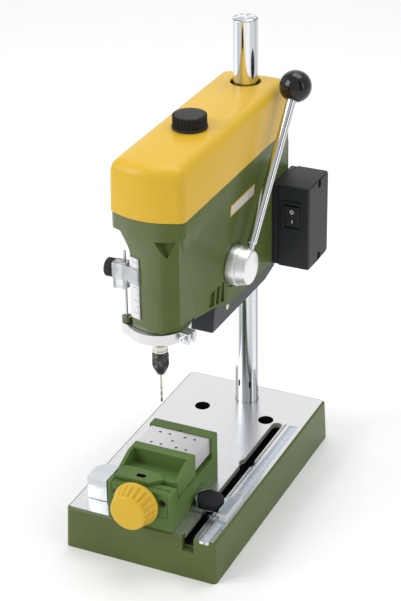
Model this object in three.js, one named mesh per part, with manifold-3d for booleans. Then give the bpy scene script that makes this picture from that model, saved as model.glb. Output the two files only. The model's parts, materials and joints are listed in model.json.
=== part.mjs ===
// Precision bench drill with a drill vise and a T-slot fence, in millimetres, +Z up.
// The origin is the middle of the base's sole. +X is the lever side, -Y is the front.

import * as THREE from "three";
import { mergeVertices } from "three/addons/utils/BufferGeometryUtils.js";
import Module from "manifold-3d";

// Shared working sizes
const gap = 0.3;
const overrun = 5;
const bigRoundCount = 32;
const roundCount = 22;
const smallRoundCount = 12;
const hexCount = 6;
const fluteSteps = 4;

// Base casting
const baseWidth = 123;
const baseDepth = 221.5;
const baseHeight = 35.3;
const baseCornerRadius = 3;
const baseCornerSteps = 3;
const baseDraft = 1.2;
const baseEdgeChamfer = 1.4;
const basePlateThickness = 14;
const baseWallThickness = 8;
const baseRibThickness = 5;
const baseRibSetback = 2;
const baseRibPlaceShares = [-0.27, 0, 0.27];
const basePadRadius = 10;
const tableHoleRadius = 6.25;
const tableHoleOffset = 28.3;
const tableHoleY = 62.2;

// T-slot and the ruler beside it
const slotX = 39.8;
const slotWidth = 8.6;
const slotNeckDepth = 4.5;
const slotUndercutWidth = 14;
const slotDepth = 9.5;
const slotEndY = 62.2;
const slotNotchWidth = 9.4;
const slotNotchDepth = 12.5;
const slotNotchLength = 4.5;
const slotEntryY = -2;
const slotEntryRadius = 6.4;
const rulerX = 49.8;
const rulerWidth = 6.2;
const rulerEndY = 62;
const rulerRecess = 0.9;
const rulerThickness = 0.5;

// Column and its set screw
const columnX = 0;
const columnBackDistance = 21.75;
const columnY = baseDepth / 2 - columnBackDistance;
const columnRadius = 9.6;
const columnTop = 365.5;
const columnSeatDepth = 30;
const columnChamfer = 1;
const columnBossRadius = 20;
const setScrewRadius = 3;
const setScrewHeight = 17;
const setScrewSocketRadius = 1.6;
const setScrewSocketDepth = 3;
const setScrewBlockWidth = 16;

// Fence bar, its lip, cursor, T-bolt and knob
const fenceKnobX = 39.3;
const fenceKnobY = -68.7;
const fenceKnobRadius = 10.2;
const fenceKnobHeight = 5.6;
const fenceKnobCrown = 1.1;
const fenceKnobFluteCount = 20;
const fenceBarThickness = 3.4;
const fenceBarFrontY = -78;
const fenceBarBackY = -58;
const fenceBarRightX = 52;
const fenceBoxLeftX = -52;
const fenceBoxRightX = -35.5;
const fenceBoxFrontY = -93.6;
const fenceBoxBackY = -72;
const fenceBoxTop = 54.5;
const fenceBoxCornerRadius = 10;
const fenceBoxCornerSteps = 6;
const fenceLipThickness = 0.8;
const fenceLipHeight = 5.5;
const fenceLipClearance = 1;
const cursorRightX = 58.4;
const cursorFrontY = -83;
const cursorBackY = -51;
const cursorThickness = 2.4;
const boltStemRadius = 3;
const boltHeadRadius = 6;
const boltHeadThickness = 4;

// Vise body
const viseLeftX = -25.6;
const viseRightX = 26.8;
const viseFrontY = -110;
const viseBackY = -28.6;
const viseFixedJawThickness = 10.2;
const viseFixedJawTop = 76.5;
const viseWallTop = 57.5;
const viseWallThickness = 7;
const viseFloorTop = 45;
const viseFrontBlockTop = 68;
const viseFrontBlockThickness = 10.6;
const viseEdgeChamfer = 1.2;
const viseNotchDepth = 1.6;
const viseGrooveHeight = 1;
const viseGrooveDepth = 1.2;
const viseGrooveZ = 45.7;
const viseGrooveFrontY = -80;
const viseGrooveBackY = -55;

// Vise front plate, its screws, spindle and knob
const frontPlateThickness = 5.7;
const frontPlateInset = 3.5;
const frontPlateBottom = 47;
const frontPlateTopSetback = 0.6;
const plateScrewOffset = 18.9;
const plateScrewZ = 59.5;
const plateScrewHeadRadius = 2.75;
const plateScrewHeadLength = 3;
const plateScrewStemRadius = 1.6;
const plateScrewLength = 8;
const screwSocketShare = 0.5;
const viseSpindleRadius = 3.5;
const viseSpindleZ = 57.6;
const viseSpindleEndY = -70;
const viseShoulderRadius = 5.5;
const viseShoulderLength = 2.4;
const viseKnobRadius = 17.8;
const viseKnobFrontRadius = 14.6;
const viseKnobStandoff = 4;
const viseKnobFlangeLength = 3.6;
const viseKnobLength = 16;
const viseKnobDome = 1.8;
const viseKnobFluteCount = 20;
const viseKnobFluteDepth = 1.1;
const viseKnobBoreDepth = 10;

// Vise moving jaw and the drilled block between the jaws
const jawFaceY = -65.3;
const jawThickness = 8.5;
const jawTop = 77;
const jawBottom = 57.8;
const jawShoulderY = -79;
const jawFrontY = -96;
const jawFrontTop = 70.5;
const jawLeftX = -24;
const jawRightX = 25.7;
const jawSideWall = 3;
const jawPocketFloor = 64.7;
const jawPocketRise = 4.8;
const jawPocketFrontY = -90;
const jawTongueTop = 71.2;
const jawTongueThickness = 2.9;
const jawTongueFrontY = -105;
const jawTongueHoleX = -3;
const jawTongueHoleWidth = 7;
const jawTongueHoleY = -98.5;
const jawTongueHoleDepth = 4;
const jawKeelFrontY = -92;
const jawTravel = 3;
const blockBottom = 62.5;
const blockTop = 75.8;
const blockHoleRadius = 1.15;
const blockSideInset = 0.4;

// Drill axis, quill and spindle
const drillY = -67.3;
const quillRadius = 15;
const quillBottom = 174.7;
const quillBore = 6.5;
const quillTravel = 22;
const bearingRadius = 11;
const bearingLength = 8;
const bearingBore = 5.3;
const spindleRadius = 5;
const spindleTop = 308;
const spindleCollarRadius = 5.8;
const spindleCollarLength = 6;
const spindleCollarTop = 167.6;
const chuckRadius = 6.25;
const chuckTop = 161;
const chuckBottom = 142.7;
const chuckNoseLength = 6.5;
const chuckNoseTipRadius = 3;
const chuckFluteCount = 18;
const chuckFluteDepth = 0.35;
const bitRadius = 0.85;
const bitTip = 117.8;
const bitPointLength = 1.2;
const bitSeat = 4;

// Head housing, in its own plan: the column stands at headColumnY, and half widths are from the column's plane
const headColumnY = 89;
const headHalfWidth = 28.4;
const headFrontY = -89.5;
const headFrontBow = 5.5;
const headBackY = 110.5;
const headCornerRadius = 6;
const headCornerSteps = 3;
const headBowSteps = 4;
const flangeTop = 275.2;
const flangeBottom = 263;
const flareBottom = 244.5;
const bodyHalfWidth = 26.8;
const noseLeftX = -17.6;
const noseLeftShoulderY = -76;
const noseScaleStartX = -13.6;
const noseScaleStartY = -82.6;
const noseScaleEndX = -5;
const noseScaleEndY = -85.7;
const noseTipX = 4;
const noseTipY = -87.4;
const noseRightFrontX = 11.8;
const noseRightFrontY = -86.1;
const noseRightX = 21;
const noseRightShoulderY = -76;
const noseBackY = -47.8;
const bodyShoulderY = -6.2;
const noseBottom = 186.9;
const housingStepY = -53.9;
const housingStepZ = 184.3;
const housingSlopeY = -27.5;
const housingSlopeZ = 181.2;
const housingRearStartY = -4.2;
const housingRearStartZ = 174.7;
const housingRearEndY = 75;
const housingBackZ = 171.6;
const chamberFloor = 262.6;
const chamberWall = 3.5;
const columnCollarRadius = 15;
const columnCollarTop = 270.1;
const motorRadius = 20;
const motorBottom = 182.8;
const motorWellDepth = 81;
const motorY = 43.5;
const motorFlangeRadius = 23.5;
const motorFlangeThickness = 3;
const hubRecessRadius = 17.5;
const hubRecessDepth = 1;
const gripPocketDepth = 1.8;
const gripPocketFrontY = -31.6;
const gripPocketBackY = -11.3;
const gripPocketTop = 197;
const gripPocketBottom = 183.8;
const gripPocketSlope = 3;
const gripRibCount = 2;
const gripRibWidth = 2.4;
const flareNotchWidth = 7;
const flareNotchDepth = 5;
const clampScrewRadius = 4;
const clampScrewZ = 216.3;
const clampScrewLength = 12;

// Head cover and its knob
const coverTop = 314.8;
const coverFillet = 8;
const coverFilletSteps = 3;
const coverTaper = 0.8;
const coverWall = 2;
const coverOverhang = 0.6;
const coverHoleRadius = 11.8;
const coverKnobY = -10;
const coverKnobRadius = 12.4;
const coverKnobFlangeRadius = 13.2;
const coverKnobFlangeHeight = 2.2;
const coverKnobHeight = 10.4;
const coverKnobChamfer = 1;
const coverKnobFluteCount = 26;
const coverKnobFluteDepth = 0.7;
const coverStudRadius = 2.5;
const coverStudReach = 6;

// Pulleys and belt
const spindlePulleyRadius = 12.5;
const motorPulleyRadius = 9;
const pulleyBottom = 277.2;
const quillTopBelowPulley = 23.4;
const quillTop = pulleyBottom - quillTopBelowPulley;
const pulleyHeight = 18;
const pulleyGrooveCount = 3;
const pulleyGrooveDepth = 2;
const pulleyRimShare = 0.2;
const beltThickness = 1.2;
const beltHeight = 3;
const beltArcSteps = 10;
const motorShaftRadius = 2.5;

// Under cover
const underHalfWidth = 22.4;
const underFrontY = -24.5;
const underBackY = 93.3;
const underBottom = 158.9;
const underBackBottom = 156.9;
const underBackRise = 4;
const underBackRiseY = 74.5;
const underTopLeanY = 4;
const underWall = 2;
const underScrewY = 1.9;
const underScrewZ = 169.2;
const underScrewRadius = 2.9;
const underScrewHeadLength = 1.6;
const underScrewLength = 7;
const underScrewBossRadius = 5;

// Feed lever, hub and feed arm
const feedY = 4;
const feedZ = 204.1;
const feedShaftRadius = 5;
const feedShaftLeft = 8;
const feedArmWidth = 8;
const feedArmBossRadius = 9;
const feedArmTipRadius = 3;
const feedArmEndClearance = 0.9;
const feedSlotDepth = 6.2;
const feedSlotFloorY = drillY + quillRadius - feedSlotDepth;
const feedArmReach = feedY - feedSlotFloorY - feedArmTipRadius - feedArmEndClearance;
const feedSlotClearance = 1;
const feedChamberWidth = 10;
const feedChamberClearance = 3;
const hubRootRadius = 15.2;
const hubStepRadius = 14.4;
const hubEndRadius = 12;
const hubStepShare = 0.55;
const hubEndX = 42;
const hubChamfer = 0.8;
const leverX = 36.5;
const leverLength = 140.2;
const leverLeanDegrees = 35.8;
const leverTiltDegrees = 2.25;
const leverRadius = 3.3;
const leverNeckRadius = 2.7;
const leverNeckEnd = 19;
const leverRootDepth = 8;
const ballRadius = 12.3;
const ballFlatShare = 0.9;
const ballBoreDepth = 9;

// Switch box and rocker
const switchSeamX = 31.8;
const switchRightX = 57.8;
const switchFrontY = 76.9;
const switchBackY = 117.6;
const switchBottom = 169.8;
const switchTop = 239.4;
const switchEdge = 2;
const switchCornerSteps = 2;
const switchSeamStep = 0.5;
const rockerX = 44.2;
const rockerZ = 214.7;
const rockerFrameWidth = 17;
const rockerFrameHeight = 24;
const rockerFrameLip = 0.9;
const rockerFrameRim = 2.2;
const rockerFrameDepth = 11;
const rockerBulge = 1.3;
const rockerDepth = 5;
const rockerTiltDegrees = 10;
const switchScrewY = 98.9;
const switchScrewRadius = 2.6;
const switchScrewLength = 6;
const switchScrewSink = 3;
const switchScrewInset = 4.2;

// Depth stop on the quill's clamp ring
const ringTop = 186.5;
const ringHeight = 8.2;
const ringRadius = 23.3;
const ringSlit = 3;
const ringEarLength = 7;
const ringEarThickness = 3;
const ringEarDegrees = -14;
const ringScrewRadius = 1.6;
const ringScrewHeadRadius = 2.8;
const ringScrewHeadLength = 2.6;
const ringNutRadius = 3;
const ringNutThickness = 2.4;
const stopX = -20.8;
const stopY = -77.5;
const stopLugRadius = 3.8;
const stopLugHeight = 4.2;
const stopRodRadius = 1.25;
const stopRodTop = 243.8;
const stopBlockWidth = 10.4;
const stopBlockBackWall = 3.4;
const stopBlockRightWall = 2.6;
const stopBlockBottom = 214.6;
const stopBlockHeight = 20.5;
const stopKnobRadius = 6.9;
const stopKnobLength = 6.5;
const stopKnobFluteCount = 16;
const stopKnobFluteDepth = 0.5;
const stopKnobZ = 228.4;
const stopStemRadius = 2;
const stopStemReach = 3;
const pointerReach = 12.5;
const pointerThickness = 1;
const pointerHeight = 12;
const pointerZ = 223;
const scaleWidth = 9;
const scaleThickness = 0.8;
const scaleBottom = 195.2;
const scaleTop = 243.5;
const scaleStandoff = 0.3;

const wasm = await Module();
wasm.setup();

const drill = new THREE.Group();

// Solids and outlines

function toSolid(geometry) {
  const plain = geometry.clone();
  plain.deleteAttribute("normal");
  plain.deleteAttribute("uv");
  const welded = mergeVertices(plain);
  const points = welded.getAttribute("position").array;
  const source = welded.index.array;
  const faces = [];
  for (let i = 0; i < source.length; i += 3) {
    const [a, b, c] = [source[i], source[i + 1], source[i + 2]];
    if (a !== b && b !== c && c !== a) faces.push(a, b, c);
  }
  if (signedVolume(points, faces) < 0) {
    for (let i = 0; i < faces.length; i += 3) [faces[i], faces[i + 1]] = [faces[i + 1], faces[i]];
  }
  const mesh = new wasm.Mesh({
    numProp: 3,
    vertProperties: new Float32Array(points),
    triVerts: new Uint32Array(faces),
  });
  return new wasm.Manifold(mesh);
}

function signedVolume(points, faces) {
  const corner = (i) => new THREE.Vector3().fromArray(points, i * 3);
  let total = 0;
  for (let i = 0; i < faces.length; i += 3) {
    total += corner(faces[i]).dot(corner(faces[i + 1]).cross(corner(faces[i + 2])));
  }
  return total;
}

function toGeometry(solid) {
  const mesh = solid.getMesh();
  const geometry = new THREE.BufferGeometry();
  geometry.setAttribute("position", new THREE.BufferAttribute(mesh.vertProperties, mesh.numProp));
  geometry.setIndex(new THREE.BufferAttribute(mesh.triVerts, 1));
  geometry.computeVertexNormals();
  return geometry;
}

function joined(first, ...others) {
  return others.reduce((whole, next) => whole.add(next), first);
}

function cut(first, ...others) {
  return others.reduce((whole, next) => whole.subtract(next), first);
}

function box(x0, x1, y0, y1, z0, z1) {
  const geometry = new THREE.BoxGeometry(x1 - x0, y1 - y0, z1 - z0);
  geometry.translate((x0 + x1) / 2, (y0 + y1) / 2, (z0 + z1) / 2);
  return toSolid(geometry);
}

function extruded(points, length) {
  const shape = new THREE.Shape(points.map(([a, b]) => new THREE.Vector2(a, b)));
  return new THREE.ExtrudeGeometry(shape, { depth: length, bevelEnabled: false });
}

// An outline of [x, y] points raised from z0 to z1.
function prismZ(points, z0, z1) {
  const geometry = extruded(points, z1 - z0);
  geometry.translate(0, 0, z0);
  return toSolid(geometry);
}

// An outline of [y, z] points drawn out from x0 to x1.
function prismX(points, x0, x1) {
  const geometry = extruded(points, x1 - x0);
  const across = new THREE.Matrix4().makeBasis(
    new THREE.Vector3(0, 1, 0),
    new THREE.Vector3(0, 0, 1),
    new THREE.Vector3(1, 0, 0),
  );
  geometry.applyMatrix4(across);
  geometry.translate(x0, 0, 0);
  return toSolid(geometry);
}

// A profile of [radius, height] points turned about an axis through a centre.
function turned(profile, axis, centre, count = roundCount) {
  const points = profile.map(([radius, height]) => new THREE.Vector2(radius, height));
  const geometry = new THREE.LatheGeometry(points, count);
  if (axis === "z") geometry.rotateX(Math.PI / 2);
  if (axis === "x") geometry.rotateZ(-Math.PI / 2);
  geometry.translate(...centre);
  return toSolid(geometry);
}

function rod(radius, low, high, axis, centre, count = roundCount) {
  return turned([[0, low], [radius, low], [radius, high], [0, high]], axis, centre, count);
}

function tube(inner, outer, low, high, axis, centre, count = roundCount) {
  const profile = [[inner, low], [outer, low], [outer, high], [inner, high], [inner, low]];
  return turned(profile, axis, centre, count);
}

// Rings of the same number of [x, y, z] points, skinned and closed at both ends.
function loft(rings) {
  const count = rings[0].length;
  const positions = rings.flat(2);
  const faces = [];
  for (let ring = 0; ring + 1 < rings.length; ring += 1) {
    for (let i = 0; i < count; i += 1) {
      const a = ring * count + i;
      const b = ring * count + ((i + 1) % count);
      faces.push(a, b, b + count, a, b + count, a + count);
    }
  }
  for (const [ring, flip] of [[0, true], [rings.length - 1, false]]) {
    const centre = [0, 1, 2].map((k) => rings[ring].reduce((sum, point) => sum + point[k], 0) / count);
    const middle = positions.length / 3;
    positions.push(...centre);
    for (let i = 0; i < count; i += 1) {
      const a = ring * count + i;
      const b = ring * count + ((i + 1) % count);
      faces.push(middle, flip ? b : a, flip ? a : b);
    }
  }
  const geometry = new THREE.BufferGeometry();
  geometry.setAttribute("position", new THREE.Float32BufferAttribute(positions, 3));
  geometry.setIndex(faces);
  return toSolid(geometry);
}

function atHeight(outline, z) {
  return outline.map(([x, y]) => [x, y, z]);
}

// A rectangle with round corners, counter-clockwise.
function roundedRectangle(halfX, halfY, radius, steps) {
  const points = [];
  const corners = [[1, 1], [-1, 1], [-1, -1], [1, -1]];
  corners.forEach(([sx, sy], quarter) => {
    for (let i = 0; i <= steps; i += 1) {
      const angle = (quarter + i / steps) * Math.PI / 2;
      const x = sx * (halfX - radius) + radius * Math.cos(angle);
      const y = sy * (halfY - radius) + radius * Math.sin(angle);
      points.push([x, y]);
    }
  });
  return points;
}

// A knurled or fluted round grip along z: each ring is [radius, height, flute depth].
function flutedRings(rings, count, stepsPerFlute) {
  const total = count * stepsPerFlute;
  return rings.map(([radius, height, depth]) => {
    const points = [];
    for (let i = 0; i < total; i += 1) {
      const angle = i / total * 2 * Math.PI;
      const wave = (1 - Math.cos(count * angle)) / 2;
      const reach = radius - depth * wave;
      points.push([reach * Math.cos(angle), reach * Math.sin(angle), height]);
    }
    return points;
  });
}

function addPiece(parent, name, solid, colour, roughness, metalness) {
  const material = new THREE.MeshStandardMaterial({ color: colour, roughness, metalness });
  const mesh = new THREE.Mesh(toGeometry(solid), material);
  mesh.name = name;
  parent.add(mesh);
  return mesh;
}

// Colours of the photographed finishes
const castGreen = 0x62704a;
const coverYellow = 0xdeb234;
const steel = 0xd9dadd;
const aluminium = 0xc4c6c8;
const blackPlastic = 0x26282c;
const darkGrey = 0x4a4e52;

// Base casting: a drafted box with a ribbed, hollow underside
function makeBase() {
  const outline = (grow) => roundedRectangle(
    baseWidth / 2 + grow, baseDepth / 2 + grow, baseCornerRadius, baseCornerSteps,
  );
  const body = loft([
    atHeight(outline(baseDraft), 0),
    atHeight(outline(0), baseHeight - baseEdgeChamfer),
    atHeight(outline(-baseEdgeChamfer), baseHeight),
  ]);
  const roof = baseHeight - basePlateThickness;
  const insideX = baseWidth / 2 - baseWallThickness;
  const insideY = baseDepth / 2 - baseWallThickness;
  const ribHalf = baseRibThickness / 2;
  let hollow = box(-insideX, insideX, -insideY, insideY, -overrun, roof);
  hollow = hollow.subtract(box(-ribHalf, ribHalf, -insideY, insideY, baseRibSetback, roof));
  for (const share of baseRibPlaceShares) {
    const y = share * baseDepth;
    hollow = hollow.subtract(box(-insideX, insideX, y - ribHalf, y + ribHalf, baseRibSetback, roof));
  }
  hollow = hollow.subtract(rod(basePadRadius, 0, roof, "z", [0, 0, 0]));
  hollow = hollow.subtract(rod(columnBossRadius, 0, roof, "z", [columnX, columnY, 0]));
  const blockHalf = setScrewBlockWidth / 2;
  hollow = hollow.subtract(box(columnX - blockHalf, columnX + blockHalf, columnY, insideY, 0, roof));

  const seat = rod(
    columnRadius + gap, baseHeight - columnSeatDepth, baseHeight + overrun,
    "z", [columnX, columnY, 0], bigRoundCount,
  );
  const screwBore = rod(
    setScrewRadius + gap, columnY, baseDepth / 2 + overrun, "y", [columnX, 0, setScrewHeight], smallRoundCount,
  );
  const holes = [-tableHoleOffset, tableHoleOffset].map(
    (x) => rod(tableHoleRadius, -overrun, baseHeight + overrun, "z", [x, tableHoleY, 0]),
  );
  return cut(body, hollow, seat, screwBore, ...holes, ...makeSlotCuts(), makeRulerRecess());
}

// T-slot: rounded at the far end, with a round entry for the bolt head and a plain notch at the front
function makeSlotCuts() {
  const front = -baseDepth / 2 - overrun;
  const notchEnd = -baseDepth / 2 + slotNotchLength;
  const run = (width, start, low, high) => joined(
    box(slotX - width / 2, slotX + width / 2, start, slotEndY - width / 2, low, high),
    rod(width / 2, low, high, "z", [slotX, slotEndY - width / 2, 0]),
  );
  const top = baseHeight + overrun;
  const neck = run(slotWidth, front, baseHeight - slotDepth, top);
  const undercut = run(slotUndercutWidth, notchEnd - gap, baseHeight - slotDepth, baseHeight - slotNeckDepth);
  const notchHalf = slotNotchWidth / 2;
  const notch = box(slotX - notchHalf, slotX + notchHalf, front, notchEnd, baseHeight - slotNotchDepth, top);
  const entry = rod(slotEntryRadius, baseHeight - slotDepth, top, "z", [slotX, slotEntryY, 0]);
  return [neck, undercut, entry, notch];
}

function makeRulerRecess() {
  return box(
    rulerX - gap, rulerX + rulerWidth + gap, -baseDepth / 2 - overrun, rulerEndY + gap,
    baseHeight - rulerRecess, baseHeight + overrun,
  );
}

addPiece(drill, "base_casting", makeBase(), castGreen, 0.5, 0.1);

const stripBottom = baseHeight - rulerRecess + gap;
addPiece(drill, "ruler_strip", box(
  rulerX, rulerX + rulerWidth, -baseDepth / 2 + gap, rulerEndY, stripBottom, stripBottom + rulerThickness,
), aluminium, 0.35, 0.9);

// Column: a ground bar with a chamfered top, held in the base by a set screw from behind
const columnFoot = baseHeight - columnSeatDepth + gap;
addPiece(drill, "column", turned([
  [0, columnFoot],
  [columnRadius, columnFoot],
  [columnRadius, columnTop - columnChamfer],
  [columnRadius - columnChamfer, columnTop],
  [0, columnTop],
], "z", [columnX, columnY, 0], bigRoundCount), steel, 0.12, 1);

const setScrewStart = columnY + columnRadius + gap;
const setScrewEnd = baseDepth / 2 - baseWallThickness / 2;
const setScrewPlace = [columnX, 0, setScrewHeight];
addPiece(drill, "column_set_screw", cut(
  rod(setScrewRadius, setScrewStart, setScrewEnd, "y", setScrewPlace, smallRoundCount),
  rod(
    setScrewSocketRadius, setScrewEnd - setScrewSocketDepth, setScrewEnd + overrun, "y", setScrewPlace, hexCount,
  ),
), darkGrey, 0.4, 0.8);

// Fence: a bright bar lying across the table under the vise, with a tall box at its left end
const fenceBottom = baseHeight + gap;
const fenceTop = fenceBottom + fenceBarThickness;

function makeFenceBar() {
  const bar = box(fenceBoxLeftX, fenceBarRightX, fenceBarFrontY, fenceBarBackY, fenceBottom, fenceTop);
  const cornerX = fenceBoxLeftX + fenceBoxCornerRadius;
  const cornerY = fenceBoxBackY - fenceBoxCornerRadius;
  const corner = [];
  for (let i = 0; i <= fenceBoxCornerSteps; i += 1) {
    const angle = (1 + i / fenceBoxCornerSteps) * Math.PI / 2;
    const x = cornerX + fenceBoxCornerRadius * Math.cos(angle);
    const y = cornerY + fenceBoxCornerRadius * Math.sin(angle);
    corner.push([x, y]);
  }
  const upright = prismZ([
    [fenceBoxLeftX, fenceBoxFrontY],
    [fenceBoxRightX, fenceBoxFrontY],
    [fenceBoxRightX, fenceBoxBackY],
    ...corner,
  ], fenceBottom, fenceBoxTop);
  const lipInner = fenceKnobRadius + fenceLipClearance;
  const lipOuter = lipInner + fenceLipThickness;
  const centre = [fenceKnobX, fenceKnobY, 0];
  const lipQuarter = box(
    fenceKnobX - lipOuter - gap, fenceKnobX, fenceBarFrontY, fenceBarBackY,
    fenceTop - gap, fenceTop + fenceLipHeight,
  );
  const lip = tube(
    lipInner, lipOuter, fenceTop - gap, fenceTop + fenceLipHeight, "z", centre, bigRoundCount,
  ).intersect(lipQuarter);
  const stemHole = rod(boltStemRadius + gap, fenceBottom - overrun, fenceTop + overrun, "z", centre);
  return cut(joined(bar, upright, lip), stemHole);
}

addPiece(drill, "fence_bar", makeFenceBar(), steel, 0.15, 1);

// Cursor: a clear plastic tongue that reads the ruler, stepped over the end of the bar
const cursorStep = fenceBarRightX + gap;
const cursorLeftX = fenceKnobX + fenceKnobRadius + gap;
const cursorTop = fenceTop + gap + cursorThickness;
addPiece(drill, "fence_cursor", joined(
  box(cursorStep, cursorRightX, cursorFrontY, cursorBackY, fenceBottom, cursorTop),
  box(cursorLeftX, cursorRightX, fenceBarFrontY, fenceBarBackY, fenceTop + gap, cursorTop),
), 0xdfe3e6, 0.15, 0);

const boltHeadBottom = baseHeight - slotDepth + gap;
const boltCentre = [fenceKnobX, fenceKnobY, 0];
addPiece(drill, "fence_tbolt", joined(
  rod(boltHeadRadius, boltHeadBottom, boltHeadBottom + boltHeadThickness, "z", boltCentre),
  rod(boltStemRadius, boltHeadBottom, fenceTop + fenceKnobHeight / 2, "z", boltCentre),
), steel, 0.3, 1);

function makeFenceKnob() {
  const flute = fenceKnobCrown / 2;
  const body = loft(flutedRings([
    [fenceKnobRadius, 0, 0],
    [fenceKnobRadius, fenceKnobCrown, flute],
    [fenceKnobRadius, fenceKnobHeight - fenceKnobCrown, flute],
    [fenceKnobRadius - fenceKnobCrown, fenceKnobHeight, 0],
  ], fenceKnobFluteCount, fluteSteps));
  const bore = rod(boltStemRadius + gap, -overrun, fenceKnobHeight / 2 + gap, "z", [0, 0, 0]);
  return cut(body, bore);
}

const fenceKnob = addPiece(drill, "fence_knob", makeFenceKnob(), blackPlastic, 0.4, 0);
fenceKnob.position.set(fenceKnobX, fenceKnobY, fenceTop + gap);

// Vise body: floor, two side walls, the fixed jaw at the back and a block for the screw in front
const viseCentreX = (viseLeftX + viseRightX) / 2;
const viseBottom = baseHeight + gap;
const fixedJawFaceY = viseBackY - viseFixedJawThickness;
const frontBlockBackY = viseFrontY + viseFrontBlockThickness;
const frontPlateBackY = viseFrontY + frontPlateThickness;
const channelLeftX = viseLeftX + viseWallThickness;
const channelRightX = viseRightX - viseWallThickness;
const plateLeftX = viseLeftX + frontPlateInset;
const plateRightX = viseRightX - frontPlateInset;
const spindleCentre = [viseCentreX, 0, viseSpindleZ];

function makeViseBody() {
  const sideProfile = [
    [viseFrontY, viseBottom],
    [viseBackY, viseBottom],
    [viseBackY, viseFixedJawTop - viseEdgeChamfer],
    [viseBackY - viseEdgeChamfer, viseFixedJawTop],
    [fixedJawFaceY, viseFixedJawTop],
    [fixedJawFaceY, viseWallTop],
    [frontBlockBackY, viseWallTop],
    [frontBlockBackY, viseFrontBlockTop],
    [viseFrontY + viseEdgeChamfer, viseFrontBlockTop],
    [viseFrontY, viseFrontBlockTop - viseEdgeChamfer],
  ];
  const body = prismX(sideProfile, viseLeftX, viseRightX);
  const channel = box(
    channelLeftX, channelRightX, frontBlockBackY, fixedJawFaceY, viseFloorTop, viseWallTop + overrun,
  );
  const plateSeat = box(
    plateLeftX - gap, plateRightX + gap, viseFrontY - overrun, frontPlateBackY + gap,
    frontPlateBottom - gap, viseFrontBlockTop + overrun,
  );
  const strapRelief = box(
    viseLeftX - overrun, viseRightX + overrun, fenceBarFrontY - gap, fenceBarBackY + gap,
    viseBottom - overrun, fenceTop + gap,
  );
  const spindleBore = rod(
    viseSpindleRadius + gap, viseFrontY - overrun, frontBlockBackY + overrun, "y", spindleCentre,
  );
  const notchTop = viseFixedJawTop + overrun;
  const notch = prismZ([
    [viseCentreX - viseNotchDepth, fixedJawFaceY - gap],
    [viseCentreX + viseNotchDepth, fixedJawFaceY - gap],
    [viseCentreX, fixedJawFaceY + viseNotchDepth],
  ], viseWallTop, notchTop);
  const groove = (x0, x1) => box(
    x0, x1, viseGrooveFrontY, viseGrooveBackY,
    viseGrooveZ - viseGrooveHeight / 2, viseGrooveZ + viseGrooveHeight / 2,
  );
  const screwBores = [-plateScrewOffset, plateScrewOffset].map((offset) => rod(
    plateScrewStemRadius + gap, viseFrontY - overrun, viseFrontY + plateScrewLength + gap,
    "y", [viseCentreX + offset, 0, plateScrewZ], smallRoundCount,
  ));
  return cut(
    body, channel, plateSeat, strapRelief, spindleBore, notch,
    groove(viseRightX - viseGrooveDepth, viseRightX + overrun),
    groove(viseLeftX - overrun, viseLeftX + viseGrooveDepth),
    ...screwBores,
  );
}

addPiece(drill, "vise_body", makeViseBody(), castGreen, 0.45, 0.1);

function makeFrontPlate() {
  const plate = box(
    plateLeftX, plateRightX, viseFrontY, frontPlateBackY,
    frontPlateBottom, viseFrontBlockTop - frontPlateTopSetback,
  );
  const bore = rod(
    viseSpindleRadius + gap, viseFrontY - overrun, frontPlateBackY + overrun, "y", spindleCentre,
  );
  const shoulderSeat = rod(
    viseShoulderRadius + gap, frontPlateBackY - viseShoulderLength - gap, frontPlateBackY + overrun,
    "y", spindleCentre,
  );
  const sinks = [-plateScrewOffset, plateScrewOffset].flatMap((offset) => {
    const centre = [viseCentreX + offset, 0, plateScrewZ];
    return [
      rod(
        plateScrewStemRadius + gap, viseFrontY - overrun, frontPlateBackY + overrun,
        "y", centre, smallRoundCount,
      ),
      rod(
        plateScrewHeadRadius + gap, viseFrontY - overrun, viseFrontY + plateScrewHeadLength + gap,
        "y", centre, smallRoundCount,
      ),
    ];
  });
  return cut(plate, bore, shoulderSeat, ...sinks);
}

addPiece(drill, "vise_front_plate", makeFrontPlate(), castGreen, 0.45, 0.1);

// Socket head screws that hold the front plate
function makePlateScrew(x) {
  const centre = [x, 0, plateScrewZ];
  const headRear = viseFrontY + plateScrewHeadLength;
  const screw = turned([
    [0, viseFrontY],
    [plateScrewHeadRadius, viseFrontY],
    [plateScrewHeadRadius, headRear],
    [plateScrewStemRadius, headRear],
    [plateScrewStemRadius, viseFrontY + plateScrewLength],
    [0, viseFrontY + plateScrewLength],
  ], "y", centre, smallRoundCount);
  const socketRadius = plateScrewHeadRadius * screwSocketShare;
  const socketEnd = viseFrontY + plateScrewHeadLength * screwSocketShare;
  return cut(screw, rod(socketRadius, viseFrontY - overrun, socketEnd, "y", centre, hexCount));
}

addPiece(drill, "vise_plate_screw_left", makePlateScrew(viseCentreX - plateScrewOffset), darkGrey, 0.35, 0.9);
addPiece(drill, "vise_plate_screw_right", makePlateScrew(viseCentreX + plateScrewOffset), darkGrey, 0.35, 0.9);

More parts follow.
